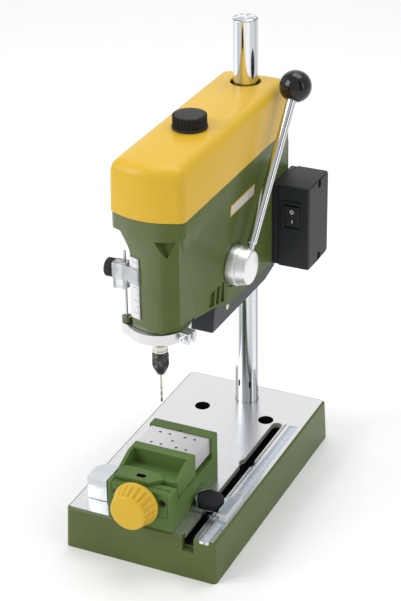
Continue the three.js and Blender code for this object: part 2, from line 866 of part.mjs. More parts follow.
// Drilled block gripped between the jaws, with two rows of holes and one in the middle
function makeWorkBlock() {
  const backY = fixedJawFaceY - gap;
  const frontY = jawFaceY + gap;
  const leftX = jawLeftX + blockSideInset;
  const rightX = jawRightX - blockSideInset;
  const block = box(leftX, rightX, frontY, backY, blockBottom, blockTop);
  const depth = backY - frontY;
  const halfWidth = (rightX - leftX) / 2;
  const rowPlaceShares = [-0.58, -0.25, 0.27, 0.6];
  const backRowShare = 0.77;
  const frontRowShare = 0.17;
  const middleShare = 0.46;
  const middleX = (leftX + rightX) / 2;
  const places = [[middleX, frontY + middleShare * depth]];
  for (const share of rowPlaceShares) {
    places.push([middleX + share * halfWidth, frontY + backRowShare * depth]);
    places.push([middleX + share * halfWidth, frontY + frontRowShare * depth]);
  }
  const holes = places.map(([x, y]) => rod(
    blockHoleRadius, blockBottom - overrun, blockTop + overrun, "z", [x, y, 0], smallRoundCount,
  ));
  return cut(block, ...holes);
}

addPiece(drill, "work_block", makeWorkBlock(), aluminium, 0.35, 0.9);

// Moving jaw: a clamp plate with sloping side walls, an open pocket and a tongue over the front block
function makeJaw() {
  const plateRearY = jawFaceY - jawThickness;
  const profile = [
    [jawFrontY, jawBottom],
    [jawFaceY, jawBottom],
    [jawFaceY, jawTop],
    [jawShoulderY, jawTop],
    [jawFrontY, jawFrontTop],
  ];
  const body = prismX(profile, jawLeftX, jawRightX);
  const pocket = prismX([
    [plateRearY, jawPocketFloor],
    [plateRearY, jawTop + overrun],
    [jawFrontY - overrun, jawTop + overrun],
    [jawFrontY - overrun, jawPocketFloor + jawPocketRise],
    [jawPocketFrontY, jawPocketFloor + jawPocketRise],
  ], jawLeftX + jawSideWall, jawRightX - jawSideWall);
  const width = jawRightX - jawLeftX;
  const leftShare = 0.04;
  const rightShare = 0.66;
  const pointShare = 0.78;
  const frontShare = 0.61;
  const pointDepthShare = 0.45;
  const tongueDepth = jawPocketFrontY - jawTongueFrontY;
  const tongue = prismZ([
    [jawLeftX + leftShare * width, jawTongueFrontY],
    [jawLeftX + frontShare * width, jawTongueFrontY],
    [jawLeftX + pointShare * width, jawPocketFrontY - pointDepthShare * tongueDepth],
    [jawLeftX + rightShare * width, jawPocketFrontY],
    [jawLeftX + leftShare * width, jawPocketFrontY],
  ], jawTongueTop - jawTongueThickness, jawTongueTop);
  const tongueHole = box(
    jawTongueHoleX - jawTongueHoleWidth / 2, jawTongueHoleX + jawTongueHoleWidth / 2,
    jawTongueHoleY - jawTongueHoleDepth / 2, jawTongueHoleY + jawTongueHoleDepth / 2,
    jawTongueTop - jawTongueThickness, jawTop,
  );
  const keel = box(
    channelLeftX + gap, channelRightX - gap, jawKeelFrontY, plateRearY + jawThickness / 2,
    viseFloorTop + gap, jawBottom + gap,
  );
  const boreEndY = viseSpindleEndY + jawTravel + gap;
  const spindleBore = rod(viseSpindleRadius + gap, jawFrontY - overrun, boreEndY, "y", spindleCentre);
  return cut(joined(cut(body, pocket), tongue, keel), tongueHole, spindleBore);
}

addPiece(drill, "vise_jaw", makeJaw(), castGreen, 0.45, 0.1);

// Vise spindle with its thrust shoulder, and the fluted yellow knob on its end
const viseKnobBackY = viseFrontY - viseKnobStandoff;
const spindleFrontY = viseKnobBackY - viseKnobBoreDepth + gap;
addPiece(drill, "vise_spindle", turned([
  [0, spindleFrontY],
  [viseSpindleRadius, spindleFrontY],
  [viseSpindleRadius, frontPlateBackY - viseShoulderLength],
  [viseShoulderRadius, frontPlateBackY - viseShoulderLength],
  [viseShoulderRadius, frontPlateBackY],
  [viseSpindleRadius, frontPlateBackY],
  [viseSpindleRadius, viseSpindleEndY],
  [0, viseSpindleEndY],
], "y", spindleCentre), steel, 0.25, 1);

function makeViseKnob() {
  const flank = viseKnobFlangeLength;
  const shoulder = viseKnobLength - viseKnobDome;
  const lipShare = 0.97;
  const body = loft(flutedRings([
    [viseKnobRadius * lipShare, 0, 0],
    [viseKnobRadius, flank / 2, 0],
    [viseKnobRadius * lipShare, flank, 0],
    [viseKnobRadius * lipShare, flank + gap, viseKnobFluteDepth],
    [viseKnobFrontRadius, shoulder - gap, viseKnobFluteDepth],
    [viseKnobFrontRadius - viseKnobDome / 2, shoulder + viseKnobDome / 2, 0],
    [viseKnobFrontRadius - 2 * viseKnobDome, viseKnobLength, 0],
  ], viseKnobFluteCount, fluteSteps));
  const bore = rod(viseSpindleRadius + gap, -overrun, viseKnobBoreDepth, "z", [0, 0, 0]);
  return cut(body, bore);
}

const viseKnob = addPiece(drill, "vise_knob", makeViseKnob(), coverYellow, 0.45, 0);
viseKnob.position.set(viseCentreX, viseKnobBackY, viseSpindleZ);
viseKnob.rotation.x = Math.PI / 2;

// Head: everything here is placed from the plane of the column and the drill axis
const head = new THREE.Group();
head.position.set(columnX, columnY - headColumnY, 0);
drill.add(head);

// Plan outline of the flange and cover: bowed front, round corners, straight sides and back.
function headOutline(halfWidth, frontY, backY, bow) {
  const points = [];
  const radius = headCornerRadius;
  const corner = (cx, cy, start) => {
    for (let i = 0; i <= headCornerSteps; i += 1) {
      const angle = start + i / headCornerSteps * Math.PI / 2;
      points.push([cx + radius * Math.cos(angle), cy + radius * Math.sin(angle)]);
    }
  };
  corner(halfWidth - radius, backY - radius, 0);
  corner(-halfWidth + radius, backY - radius, Math.PI / 2);
  corner(-halfWidth + radius, frontY + bow + radius, Math.PI);
  const reach = halfWidth - radius;
  for (let i = 1; i < headBowSteps * 2; i += 1) {
    const x = reach * (i / headBowSteps - 1);
    points.push([x, frontY + bow * (x / reach) ** 2]);
  }
  corner(halfWidth - radius, frontY + bow + radius, -Math.PI / 2);
  return points;
}

function flangeOutline(inset) {
  return headOutline(headHalfWidth - inset, headFrontY + inset, headBackY - inset, headFrontBow);
}

const nosePlan = [
  [bodyHalfWidth, headBackY - gap],
  [-bodyHalfWidth, headBackY - gap],
  [-bodyHalfWidth, bodyShoulderY],
  [noseLeftX, noseBackY],
  [noseLeftX, noseLeftShoulderY],
  [noseScaleStartX, noseScaleStartY],
  [noseScaleEndX, noseScaleEndY],
  [noseTipX, noseTipY],
  [noseRightFrontX, noseRightFrontY],
  [noseRightX, noseRightShoulderY],
  [noseRightX, noseBackY],
  [bodyHalfWidth, bodyShoulderY],
];

// Two outlines cut by the same rays from a centre, so that each has a point for every corner of both.
function matched(first, second, centre) {
  const angleOf = ([x, y]) => Math.atan2(y - centre[1], x - centre[0]);
  const angles = [...first, ...second].map(angleOf).sort((a, b) => a - b);
  const distinct = angles.filter((angle, i) => i === 0 || angle - angles[i - 1] > 1e-4);
  const cutBy = (outline, angle) => {
    const [dx, dy] = [Math.cos(angle), Math.sin(angle)];
    let reach = 0;
    outline.forEach(([ax, ay], i) => {
      const [bx, by] = outline[(i + 1) % outline.length];
      const [ex, ey] = [bx - ax, by - ay];
      const across = dx * ey - dy * ex;
      if (Math.abs(across) < 1e-9) return;
      const [px, py] = [ax - centre[0], ay - centre[1]];
      const distance = (px * ey - py * ex) / across;
      const share = (px * dy - py * dx) / across;
      if (share > -1e-6 && share < 1 + 1e-6) reach = Math.max(reach, distance);
    });
    return [centre[0] + dx * reach, centre[1] + dy * reach];
  };
  return [first, second].map((outline) => distinct.map((angle) => cutBy(outline, angle)));
}

const drillCentre = [0, drillY, 0];
const columnCentre = [0, headColumnY, 0];
const motorCentre = [0, motorY, 0];
const feedCentre = [0, feedY, feedZ];

// Housing: the faceted nose and the long body, cut to their lower edge, under a flared flange
function makeHousing() {
  const lowerEdge = prismX([
    [noseTipY - overrun, noseBottom],
    [housingStepY - overrun, noseBottom],
    [housingStepY, housingStepZ],
    [housingSlopeY, housingSlopeZ],
    [housingRearStartY, housingRearStartZ],
    [housingRearEndY, housingBackZ],
    [headBackY + overrun, housingBackZ],
    [headBackY + overrun, flangeBottom + gap],
    [noseTipY - overrun, flangeBottom + gap],
  ], -headHalfWidth - overrun, headHalfWidth + overrun);
  const body = prismZ(nosePlan, housingBackZ - overrun, flangeBottom + gap).intersect(lowerEdge);
  const [narrow, wide] = matched(nosePlan, flangeOutline(0), [0, feedY]);
  const flare = loft([
    atHeight(narrow, flareBottom),
    atHeight(wide, flangeBottom),
    atHeight(wide, flangeTop),
  ]);
  const stopLug = joined(
    rod(stopLugRadius, noseBottom, noseBottom + stopLugHeight, "z", [stopX, stopY, 0]),
    box(stopX, noseScaleStartX, stopY, stopY + stopLugRadius, noseBottom, noseBottom + stopLugHeight),
  );
  return cut(
    joined(body, flare, stopLug),
    makePulleyChamber(), ...makeHousingBores(), makeFeedChamber(),
    makeGripPocket(), makeFlareNotch(),
  );
}

function makePulleyChamber() {
  const chamber = prismZ(flangeOutline(chamberWall), chamberFloor, flangeTop + overrun);
  const collar = rod(columnCollarRadius, chamberFloor - overrun, columnCollarTop, "z", columnCentre);
  return cut(chamber, collar);
}

function makeHousingBores() {
  const top = flangeTop + overrun;
  const columnBore = rod(columnRadius + gap, housingBackZ - overrun, top, "z", columnCentre, bigRoundCount);
  const quillBoreCut = rod(quillRadius + gap, noseBottom - overrun, top, "z", drillCentre, bigRoundCount);
  const motorWell = rod(motorRadius + gap, chamberFloor - motorWellDepth, top, "z", motorCentre);
  const shaftBore = rod(feedShaftRadius + gap, -feedShaftLeft - gap, bodyHalfWidth + overrun, "x", feedCentre);
  const hubRecess = rod(
    hubRecessRadius, bodyHalfWidth - hubRecessDepth, bodyHalfWidth + overrun, "x", feedCentre,
  );
  const clampBore = rod(
    clampScrewRadius + gap, headColumnY, headBackY + overrun, "y", [0, 0, clampScrewZ], smallRoundCount,
  );
  const stopBore = rod(
    stopRodRadius + gap, noseBottom - overrun, noseBottom + stopLugHeight + overrun,
    "z", [stopX, stopY, 0], smallRoundCount,
  );
  const studBore = rod(
    coverStudRadius + gap, chamberFloor - coverStudReach, top, "z", [0, coverKnobY, 0], smallRoundCount,
  );
  const ringRelief = rod(ringRadius + ringEarThickness, housingBackZ - overrun, noseBottom, "z", drillCentre);
  return [columnBore, quillBoreCut, ringRelief, motorWell, shaftBore, hubRecess, clampBore, stopBore, studBore];
}

// Room for the feed arm between its shaft and the quill
const feedSwing = quillTravel / 2;

function makeFeedChamber() {
  const reach = feedSwing + feedArmTipRadius + feedChamberClearance;
  const half = feedChamberWidth / 2;
  return box(
    -half, half, drillY + quillRadius - overrun, feedY + feedArmBossRadius + gap, feedZ - reach, feedZ + reach,
  );
}

// Finger grip cast into the lower edge of the right wall, crossed by slanted ribs
function makeGripPocket() {
  const lean = gripPocketSlope;
  const span = gripPocketBackY - gripPocketFrontY;
  let pocket = prismX([
    [gripPocketFrontY, gripPocketBottom],
    [gripPocketBackY, gripPocketBottom - lean],
    [gripPocketBackY, gripPocketTop],
    [gripPocketFrontY, gripPocketTop - lean],
  ], bodyHalfWidth - gripPocketDepth - gripPocketSlope, bodyHalfWidth + overrun);
  for (let i = 1; i <= gripRibCount; i += 1) {
    const y = gripPocketFrontY + span * i / (gripRibCount + 1);
    pocket = pocket.subtract(prismX([
      [y - gripRibWidth / 2, gripPocketBottom - 2 * lean],
      [y + gripRibWidth / 2, gripPocketBottom - 2 * lean],
      [y + gripRibWidth / 2 + lean, gripPocketTop],
      [y - gripRibWidth / 2 + lean, gripPocketTop],
    ], bodyHalfWidth - overrun - gripPocketDepth, bodyHalfWidth - gripPocketDepth / 2));
  }
  return pocket;
}

// Three-cornered notch cast into the flare's right front, open below
function makeFlareNotch() {
  const x = noseRightFrontX + flareNotchWidth / 2;
  const deep = noseRightFrontY + flareNotchDepth;
  const tip = [x, headFrontY - overrun];
  const low = flareBottom + flareNotchDepth / 2;
  const rise = flangeBottom - low - flareNotchDepth / 2;
  return loft([
    [[tip[0] - gap, tip[1], low], [tip[0] + gap, tip[1], low], [x + gap, deep, low], [x - gap, deep, low]],
    [
      [x - flareNotchWidth, tip[1], low + rise], [x + flareNotchWidth, tip[1], low + rise],
      [x + flareNotchWidth, deep, low + rise], [x - flareNotchWidth, deep, low + rise],
    ],
  ]);
}

addPiece(head, "head_housing", makeHousing(), castGreen, 0.4, 0.1);

// Head clamp screw at the back, bearing on the column
const clampStart = headColumnY + columnRadius + gap;
addPiece(head, "head_clamp_screw", cut(
  rod(clampScrewRadius, clampStart, clampStart + clampScrewLength, "y", [0, 0, clampScrewZ], smallRoundCount),
  rod(clampScrewRadius * screwSocketShare, clampStart + clampScrewLength - clampScrewRadius,
    clampStart + clampScrewLength + overrun, "y", [0, 0, clampScrewZ], hexCount),
), darkGrey, 0.4, 0.9);

// Under cover: a shallow pan screwed to the housing's lower edge behind the nose
function underProfile(inset) {
  return [
    [underFrontY + inset, underBottom + inset],
    [underBackRiseY, underBackBottom + inset],
    [underBackY - inset, underBackBottom + underBackRise + inset],
    [underBackY - inset, housingBackZ - gap],
    [housingRearEndY, housingBackZ - gap],
    [housingRearStartY, housingRearStartZ - gap],
    [underFrontY + underTopLeanY + inset, housingSlopeZ - underTopLeanY],
  ];
}

function makeUnderCover() {
  const shell = prismX(underProfile(0), -underHalfWidth, underHalfWidth);
  const inner = prismX([
    ...underProfile(underWall).slice(0, 3),
    [underBackY - underWall, housingRearStartZ + overrun],
    [underFrontY + underTopLeanY + underWall, housingRearStartZ + overrun],
  ], -underHalfWidth + underWall, underHalfWidth - underWall);
  const columnHole = rod(
    columnRadius + underWall, underBackBottom - overrun, housingBackZ + overrun, "z", columnCentre,
  );
  const boss = rod(
    underScrewBossRadius, underHalfWidth - underScrewLength, underHalfWidth - underWall,
    "x", [0, underScrewY, underScrewZ - gap],
  ).intersect(shell);
  const sink = rod(
    underScrewRadius + gap, underHalfWidth - underScrewHeadLength, underHalfWidth + overrun,
    "x", [0, underScrewY, underScrewZ], smallRoundCount,
  );
  const stem = rod(
    underScrewRadius / 2 + gap, 0, underHalfWidth + overrun,
    "x", [0, underScrewY, underScrewZ], smallRoundCount,
  );
  return cut(joined(cut(shell, inner), boss), columnHole, sink, stem);
}

addPiece(head, "under_cover", makeUnderCover(), darkGrey, 0.55, 0);

const underScrewRear = underHalfWidth - underScrewHeadLength + gap;
addPiece(head, "under_cover_screw", cut(
  turned([
    [0, underHalfWidth - underScrewLength],
    [underScrewRadius / 2, underHalfWidth - underScrewLength],
    [underScrewRadius / 2, underScrewRear],
    [underScrewRadius, underScrewRear],
    [underScrewRadius, underHalfWidth + gap],
    [0, underHalfWidth + gap],
  ], "x", [0, underScrewY, underScrewZ], smallRoundCount),
  box(
    underHalfWidth - underScrewHeadLength / 2, underHalfWidth + overrun,
    underScrewY - underScrewRadius - overrun, underScrewY + underScrewRadius + overrun,
    underScrewZ - gap, underScrewZ + gap,
  ),
), 0xb99a55, 0.35, 0.9);

// Motor in its well, hung from a flange on the chamber floor
const motorFlangeBottom = chamberFloor + gap;
const motorFlangeTop = motorFlangeBottom + motorFlangeThickness;
addPiece(head, "motor_can", turned([
  [0, motorBottom],
  [motorRadius - motorFlangeThickness, motorBottom],
  [motorRadius - gap, motorBottom + motorFlangeThickness],
  [motorRadius - gap, chamberFloor],
  [0, chamberFloor],
], "z", motorCentre), darkGrey, 0.4, 0.8);
addPiece(head, "motor_flange", tube(
  motorShaftRadius + gap, motorFlangeRadius - gap, motorFlangeBottom, motorFlangeTop, "z", motorCentre,
).intersect(box(
  -headHalfWidth + chamberWall + gap, headHalfWidth - chamberWall - gap,
  motorY - motorFlangeRadius, motorY + motorFlangeRadius, motorFlangeBottom, motorFlangeTop,
)), aluminium, 0.4, 0.9);

// Stepped pulleys with V grooves
function makePulley(radius, bore) {
  const pitch = pulleyHeight / pulleyGrooveCount;
  const rim = pitch * pulleyRimShare;
  const profile = [[bore, pulleyBottom]];
  for (let i = 0; i < pulleyGrooveCount; i += 1) {
    const low = pulleyBottom + i * pitch;
    profile.push([radius, low], [radius, low + rim]);
    profile.push([radius - pulleyGrooveDepth, low + pitch / 2]);
    profile.push([radius, low + pitch - rim]);
  }
  const top = pulleyBottom + pulleyHeight;
  profile.push([radius, top], [bore, top], [bore, pulleyBottom]);
  return profile;
}

const pulleyTop = pulleyBottom + pulleyHeight;
addPiece(head, "motor_shaft", rod(
  motorShaftRadius, chamberFloor + gap, pulleyTop + gap, "z", motorCentre, smallRoundCount,
), steel, 0.25, 1);
addPiece(head, "motor_pulley", turned(
  makePulley(motorPulleyRadius, motorShaftRadius + gap), "z", motorCentre,
), aluminium, 0.35, 0.9);
addPiece(head, "spindle_pulley", turned(
  makePulley(spindlePulleyRadius, spindleRadius + gap), "z", drillCentre,
), aluminium, 0.35, 0.9);

// Flat belt round the two middle grooves: two arcs and their tangents
function beltOutline(grow) {
  const front = spindlePulleyRadius + grow;
  const back = motorPulleyRadius + grow;
  const distance = motorY - drillY;
  const wrap = Math.asin((front - back) / distance);
  const points = [];
  for (let i = 0; i <= beltArcSteps; i += 1) {
    const angle = -Math.PI - wrap + i / beltArcSteps * (Math.PI + 2 * wrap);
    points.push([front * Math.cos(angle), drillY + front * Math.sin(angle)]);
  }
  for (let i = 0; i <= beltArcSteps; i += 1) {
    const angle = wrap + i / beltArcSteps * (Math.PI - 2 * wrap);
    points.push([back * Math.cos(angle), motorY + back * Math.sin(angle)]);
  }
  return points;
}

const beltMiddle = pulleyBottom + pulleyHeight / 2;
const beltLow = beltMiddle - beltHeight / 2;
addPiece(head, "drive_belt", cut(
  prismZ(beltOutline(gap + beltThickness), beltLow, beltLow + beltHeight),
  prismZ(beltOutline(gap), beltLow - overrun, beltLow + beltHeight + overrun),
), blackPlastic, 0.8, 0);

// Head cover: a deep lid with a large fillet round its top, open below
function coverRings(inset, bottom, top) {
  const side = coverFillet - inset;
  const rings = [
    atHeight(flangeOutline(inset - coverOverhang), bottom),
    atHeight(flangeOutline(inset - coverOverhang + coverTaper), top - side),
  ];
  for (let i = 1; i <= coverFilletSteps; i += 1) {
    const angle = i / coverFilletSteps * Math.PI / 2;
    const drawIn = inset - coverOverhang + coverTaper + side * (1 - Math.cos(angle));
    rings.push(atHeight(flangeOutline(drawIn), top - side * (1 - Math.sin(angle))));
  }
  return rings;
}

const coverBottom = flangeTop + gap;

function makeCover() {
  const outer = loft(coverRings(0, coverBottom, coverTop));
  const inner = loft([
    atHeight(flangeOutline(coverWall - coverOverhang), coverBottom - overrun),
    ...coverRings(coverWall, coverBottom, coverTop - coverWall),
  ]);
  const columnHole = rod(coverHoleRadius, coverBottom, coverTop + overrun, "z", columnCentre);
  const studHole = rod(
    coverStudRadius + gap, coverBottom, coverTop + overrun, "z", [0, coverKnobY, 0], smallRoundCount,
  );
  return cut(outer, inner, columnHole, studHole);
}

addPiece(head, "head_cover", makeCover(), coverYellow, 0.45, 0);

// Cover knob and the stud it screws on
const studTop = coverTop + coverKnobHeight / 2;
addPiece(head, "cover_stud", rod(
  coverStudRadius, chamberFloor - coverStudReach + gap, studTop, "z", [0, coverKnobY, 0], smallRoundCount,
), steel, 0.3, 1);

function makeCoverKnob() {
  const crown = coverKnobHeight - coverKnobChamfer;
  const body = loft(flutedRings([
    [coverKnobFlangeRadius, 0, 0],
    [coverKnobFlangeRadius, coverKnobFlangeHeight - gap, 0],
    [coverKnobRadius, coverKnobFlangeHeight, coverKnobFluteDepth],
    [coverKnobRadius, crown, coverKnobFluteDepth],
    [coverKnobRadius - coverKnobChamfer, coverKnobHeight, 0],
  ], coverKnobFluteCount, fluteSteps));
  const bore = rod(coverStudRadius + gap, -overrun, studTop - coverTop + gap, "z", [0, 0, 0], smallRoundCount);
  return cut(body, bore);
}

const coverKnob = addPiece(head, "cover_knob", makeCoverKnob(), blackPlastic, 0.5, 0);
coverKnob.position.set(0, coverKnobY, coverTop + gap);

// Quill: a sleeve with a bearing seat at each end and a slot at the back for the feed arm
const drillHead = new THREE.Group();
drillHead.position.y = drillY;
head.add(drillHead);
const axis = [0, 0, 0];
const lowerBearingTop = quillBottom + bearingLength;
const upperBearingBottom = quillTop - bearingLength;

function makeQuill() {
  const profile = [
    [bearingRadius + gap, quillBottom],
    [quillRadius, quillBottom],
    [quillRadius, quillTop],
    [bearingRadius + gap, quillTop],
    [bearingRadius + gap, upperBearingBottom - gap],
    [quillBore, upperBearingBottom - gap],
    [quillBore, lowerBearingTop + gap],
    [bearingRadius + gap, lowerBearingTop + gap],
    [bearingRadius + gap, quillBottom],
  ];
  const sleeve = turned(profile, "z", axis, bigRoundCount);
  const half = feedArmWidth / 2 + gap;
  const tall = feedArmTipRadius + feedSlotClearance;
  const middle = feedZ + feedSwing;
  const slot = box(
    -half, half, quillRadius - feedSlotDepth, quillRadius + overrun, middle - tall, middle + tall,
  );
  return cut(sleeve, slot);
}

addPiece(drillHead, "quill", makeQuill(), steel, 0.25, 1);
addPiece(drillHead, "bearing_lower", tube(
  bearingBore, bearingRadius, quillBottom, lowerBearingTop, "z", axis,
), steel, 0.3, 1);
addPiece(drillHead, "bearing_upper", tube(
  bearingBore, bearingRadius, upperBearingBottom, quillTop, "z", axis,
), steel, 0.3, 1);

// Spindle, chuck and bit
const collarBottom = spindleCollarTop - spindleCollarLength;
addPiece(drillHead, "spindle", turned([
  [0, chuckTop + gap],
  [spindleCollarRadius - gap, chuckTop + gap],
  [spindleCollarRadius, collarBottom + gap],
  [spindleCollarRadius, spindleCollarTop],
  [spindleRadius, spindleCollarTop + gap],
  [spindleRadius, spindleTop],
  [0, spindleTop],
], "z", axis), steel, 0.25, 1);

const chuckNoseTop = chuckBottom + chuckNoseLength;

function makeChuckBody() {
  return loft(flutedRings([
    [chuckRadius, chuckNoseTop + gap, 0],
    [chuckRadius, chuckNoseTop + 2 * gap, chuckFluteDepth],
    [chuckRadius, chuckTop - chuckRadius / 2, chuckFluteDepth],
    [chuckRadius - chuckFluteDepth, chuckTop - chuckRadius / 2 + gap, 0],
    [chuckRadius - chuckFluteDepth, chuckTop, 0],
  ], chuckFluteCount, fluteSteps));
}

addPiece(drillHead, "chuck_body", makeChuckBody(), blackPlastic, 0.35, 0.8);
addPiece(drillHead, "chuck_nose", cut(
  turned([
    [0, chuckBottom],
    [chuckNoseTipRadius, chuckBottom],
    [chuckRadius - gap, chuckNoseTop - gap],
    [chuckRadius - gap, chuckNoseTop],
    [0, chuckNoseTop],
  ], "z", axis),
  rod(bitRadius + gap, chuckBottom - overrun, chuckBottom + bitSeat, "z", axis, smallRoundCount),
), blackPlastic, 0.35, 0.8);
addPiece(drillHead, "drill_bit", turned([
  [0, bitTip],
  [bitRadius, bitTip + bitPointLength],
  [bitRadius, chuckBottom + bitSeat - gap],
  [0, chuckBottom + bitSeat - gap],
], "z", axis, smallRoundCount), steel, 0.25, 1);

// Clamp ring round the quill's foot, split at the right and drawn together by a screw
const ringBottom = ringTop - ringHeight;
const ringMiddle = (ringTop + ringBottom) / 2;
const stopLocalY = stopY - drillY;
const earTurn = new THREE.Group();
earTurn.rotation.z = THREE.MathUtils.degToRad(ringEarDegrees);
drillHead.add(earTurn);

function turnedAboutAxis(solid, degrees) {
  const geometry = toGeometry(solid);
  geometry.rotateZ(THREE.MathUtils.degToRad(degrees));
  return toSolid(geometry);
}

function makeRing() {
  const hoop = tube(quillRadius + gap, ringRadius, ringBottom, ringTop, "z", axis, bigRoundCount);
  const earReach = ringRadius + ringEarLength;
  const earSpan = ringSlit / 2 + ringEarThickness;
  const ears = box(ringRadius - ringEarThickness / 2, earReach, -earSpan, earSpan, ringBottom, ringTop);
  const slit = box(0, earReach + overrun, -ringSlit / 2, ringSlit / 2, ringBottom - overrun, ringTop + overrun);
  const screwX = ringRadius + ringEarLength / 2;
  const screwBore = rod(
    ringScrewRadius + gap, -earSpan - overrun, earSpan + overrun, "y", [screwX, 0, ringMiddle], smallRoundCount,
  );
  const bare = turnedAboutAxis(cut(joined(hoop, ears), slit, screwBore), ringEarDegrees);
  const lug = joined(
    rod(stopLugRadius, ringBottom, ringTop, "z", [stopX, stopLocalY, 0]),
    prismZ([
      [stopX, stopLocalY - stopLugRadius],
      [0, -ringRadius],
      [0, 0],
      [stopX - stopLugRadius, stopLocalY],
    ], ringBottom, ringTop),
  );
  const bore = rod(quillRadius + gap, ringBottom - overrun, ringTop + overrun, "z", axis, bigRoundCount);
  const rodSeat = rod(
    stopRodRadius + gap, ringBottom - overrun, ringTop + overrun,
    "z", [stopX, stopLocalY, 0], smallRoundCount,
  );
  return cut(joined(bare, lug), bore, rodSeat);
}

addPiece(drillHead, "clamp_ring", makeRing(), aluminium, 0.3, 1);

const ringScrewX = ringRadius + ringEarLength / 2;
const ringEarFace = ringSlit / 2 + ringEarThickness + gap;
const ringScrewCentre = [ringScrewX, 0, ringMiddle];
addPiece(earTurn, "ring_screw", cut(
  turned([
    [0, -ringEarFace - ringScrewHeadLength],
    [ringScrewHeadRadius, -ringEarFace - ringScrewHeadLength],
    [ringScrewHeadRadius, -ringEarFace],
    [ringScrewRadius, -ringEarFace],
    [ringScrewRadius, ringEarFace + ringNutThickness],
    [0, ringEarFace + ringNutThickness],
  ], "y", ringScrewCentre, smallRoundCount),
  rod(
    ringScrewHeadRadius * screwSocketShare, -ringEarFace - ringScrewHeadLength - overrun,
    -ringEarFace - ringScrewHeadLength * screwSocketShare, "y", ringScrewCentre, hexCount,
  ),
), steel, 0.25, 1);
addPiece(earTurn, "ring_nut", cut(
  rod(ringNutRadius, ringEarFace, ringEarFace + ringNutThickness, "y", ringScrewCentre, hexCount),
  rod(
    ringScrewRadius + gap, ringEarFace - overrun, ringEarFace + ringNutThickness + overrun,
    "y", ringScrewCentre, smallRoundCount,
  ),
), steel, 0.3, 1);

// Depth stop: rod, clear block with its clamp knob, and the pointer over the scale
const stopPlace = [stopX, stopLocalY, 0];
addPiece(drillHead, "stop_rod", rod(
  stopRodRadius, ringBottom + gap, stopRodTop, "z", stopPlace, smallRoundCount,
), steel, 0.25, 1);

const blockRightX = stopX + stopBlockRightWall;
const blockLeftX = blockRightX - stopBlockWidth;
const blockBackY = stopLocalY + stopBlockBackWall;
const facetSlope = (noseScaleEndY - noseScaleStartY) / (noseScaleEndX - noseScaleStartX);
const scaleFront = (scaleStandoff + scaleThickness + gap) / Math.cos(Math.atan(facetSlope));
const pointerBendY = noseScaleStartY - drillY + facetSlope * (blockRightX - noseScaleStartX) - scaleFront;
const blockFrontY = pointerBendY + gap;

function makeStopBlock() {
  const block = box(
    blockLeftX, blockRightX, blockFrontY, blockBackY,
    stopBlockBottom, stopBlockBottom + stopBlockHeight,
  );
  const bore = rod(
    stopRodRadius + gap, stopBlockBottom - overrun, stopBlockBottom + stopBlockHeight + overrun,
    "z", stopPlace, smallRoundCount,
  );
  const stemBore = rod(
    stopStemRadius + gap, blockLeftX - overrun, blockLeftX + stopStemReach + gap,
    "x", [0, stopLocalY, stopKnobZ], smallRoundCount,
  );
  return cut(block, bore, stemBore);
}

addPiece(drillHead, "stop_block", makeStopBlock(), 0xcfc8bc, 0.3, 0.1);

// Pointer: a thin clear plate fixed on the block's front and bent to run across the scale
const pointerDrop = facetSlope * pointerReach;
addPiece(drillHead, "stop_pointer", prismZ([
  [blockLeftX, pointerBendY],
  [blockLeftX, pointerBendY - pointerThickness],
  [blockRightX, pointerBendY - pointerThickness],
  [blockRightX + pointerReach, pointerBendY - pointerThickness + pointerDrop],
  [blockRightX + pointerReach, pointerBendY + pointerDrop],
  [blockRightX, pointerBendY],
], pointerZ, pointerZ + pointerHeight), steel, 0.3, 0.9);

function makeStopKnob() {
  const grip = loft(flutedRings([
    [stopKnobRadius - stopKnobFluteDepth, 0, 0],
    [stopKnobRadius, stopKnobFluteDepth, stopKnobFluteDepth],
    [stopKnobRadius, stopKnobLength - stopKnobFluteDepth, stopKnobFluteDepth],
    [stopKnobRadius - stopKnobFluteDepth, stopKnobLength, 0],
  ], stopKnobFluteCount, fluteSteps));
  const stem = rod(stopStemRadius, -stopStemReach, stopKnobLength / 2, "z", axis, smallRoundCount);
  return joined(grip, stem);
}

const stopKnob = addPiece(drillHead, "stop_knob", makeStopKnob(), blackPlastic, 0.45, 0);
stopKnob.position.set(blockLeftX - gap, stopLocalY, stopKnobZ);
stopKnob.rotation.y = -Math.PI / 2;

// Depth scale: a narrow strip on the slanted facet at the left of the nose's front
const scalePlate = new THREE.Group();
const scaleMiddleX = (noseScaleStartX + noseScaleEndX) / 2;
const scaleMiddleY = (noseScaleStartY + noseScaleEndY) / 2;
scalePlate.position.set(scaleMiddleX, scaleMiddleY, 0);
scalePlate.rotation.z = Math.atan2(noseScaleEndY - noseScaleStartY, noseScaleEndX - noseScaleStartX);
head.add(scalePlate);
addPiece(scalePlate, "depth_scale", box(
  -scaleWidth / 2, scaleWidth / 2, -scaleStandoff - scaleThickness, -scaleStandoff, scaleBottom, scaleTop,
), aluminium, 0.35, 0.8);

// Feed shaft with the arm that reaches into the quill's slot
const feed = new THREE.Group();
feed.position.set(0, feedY, feedZ);
head.add(feed);
const hubRootX = bodyHalfWidth - hubRecessDepth + gap;
const hubSocket = hubEndX - hubStepShare * (hubEndX - hubRootX);
addPiece(feed, "feed_shaft", rod(
  feedShaftRadius - gap, -feedShaftLeft, hubSocket - gap, "x", axis,
), steel, 0.25, 1);

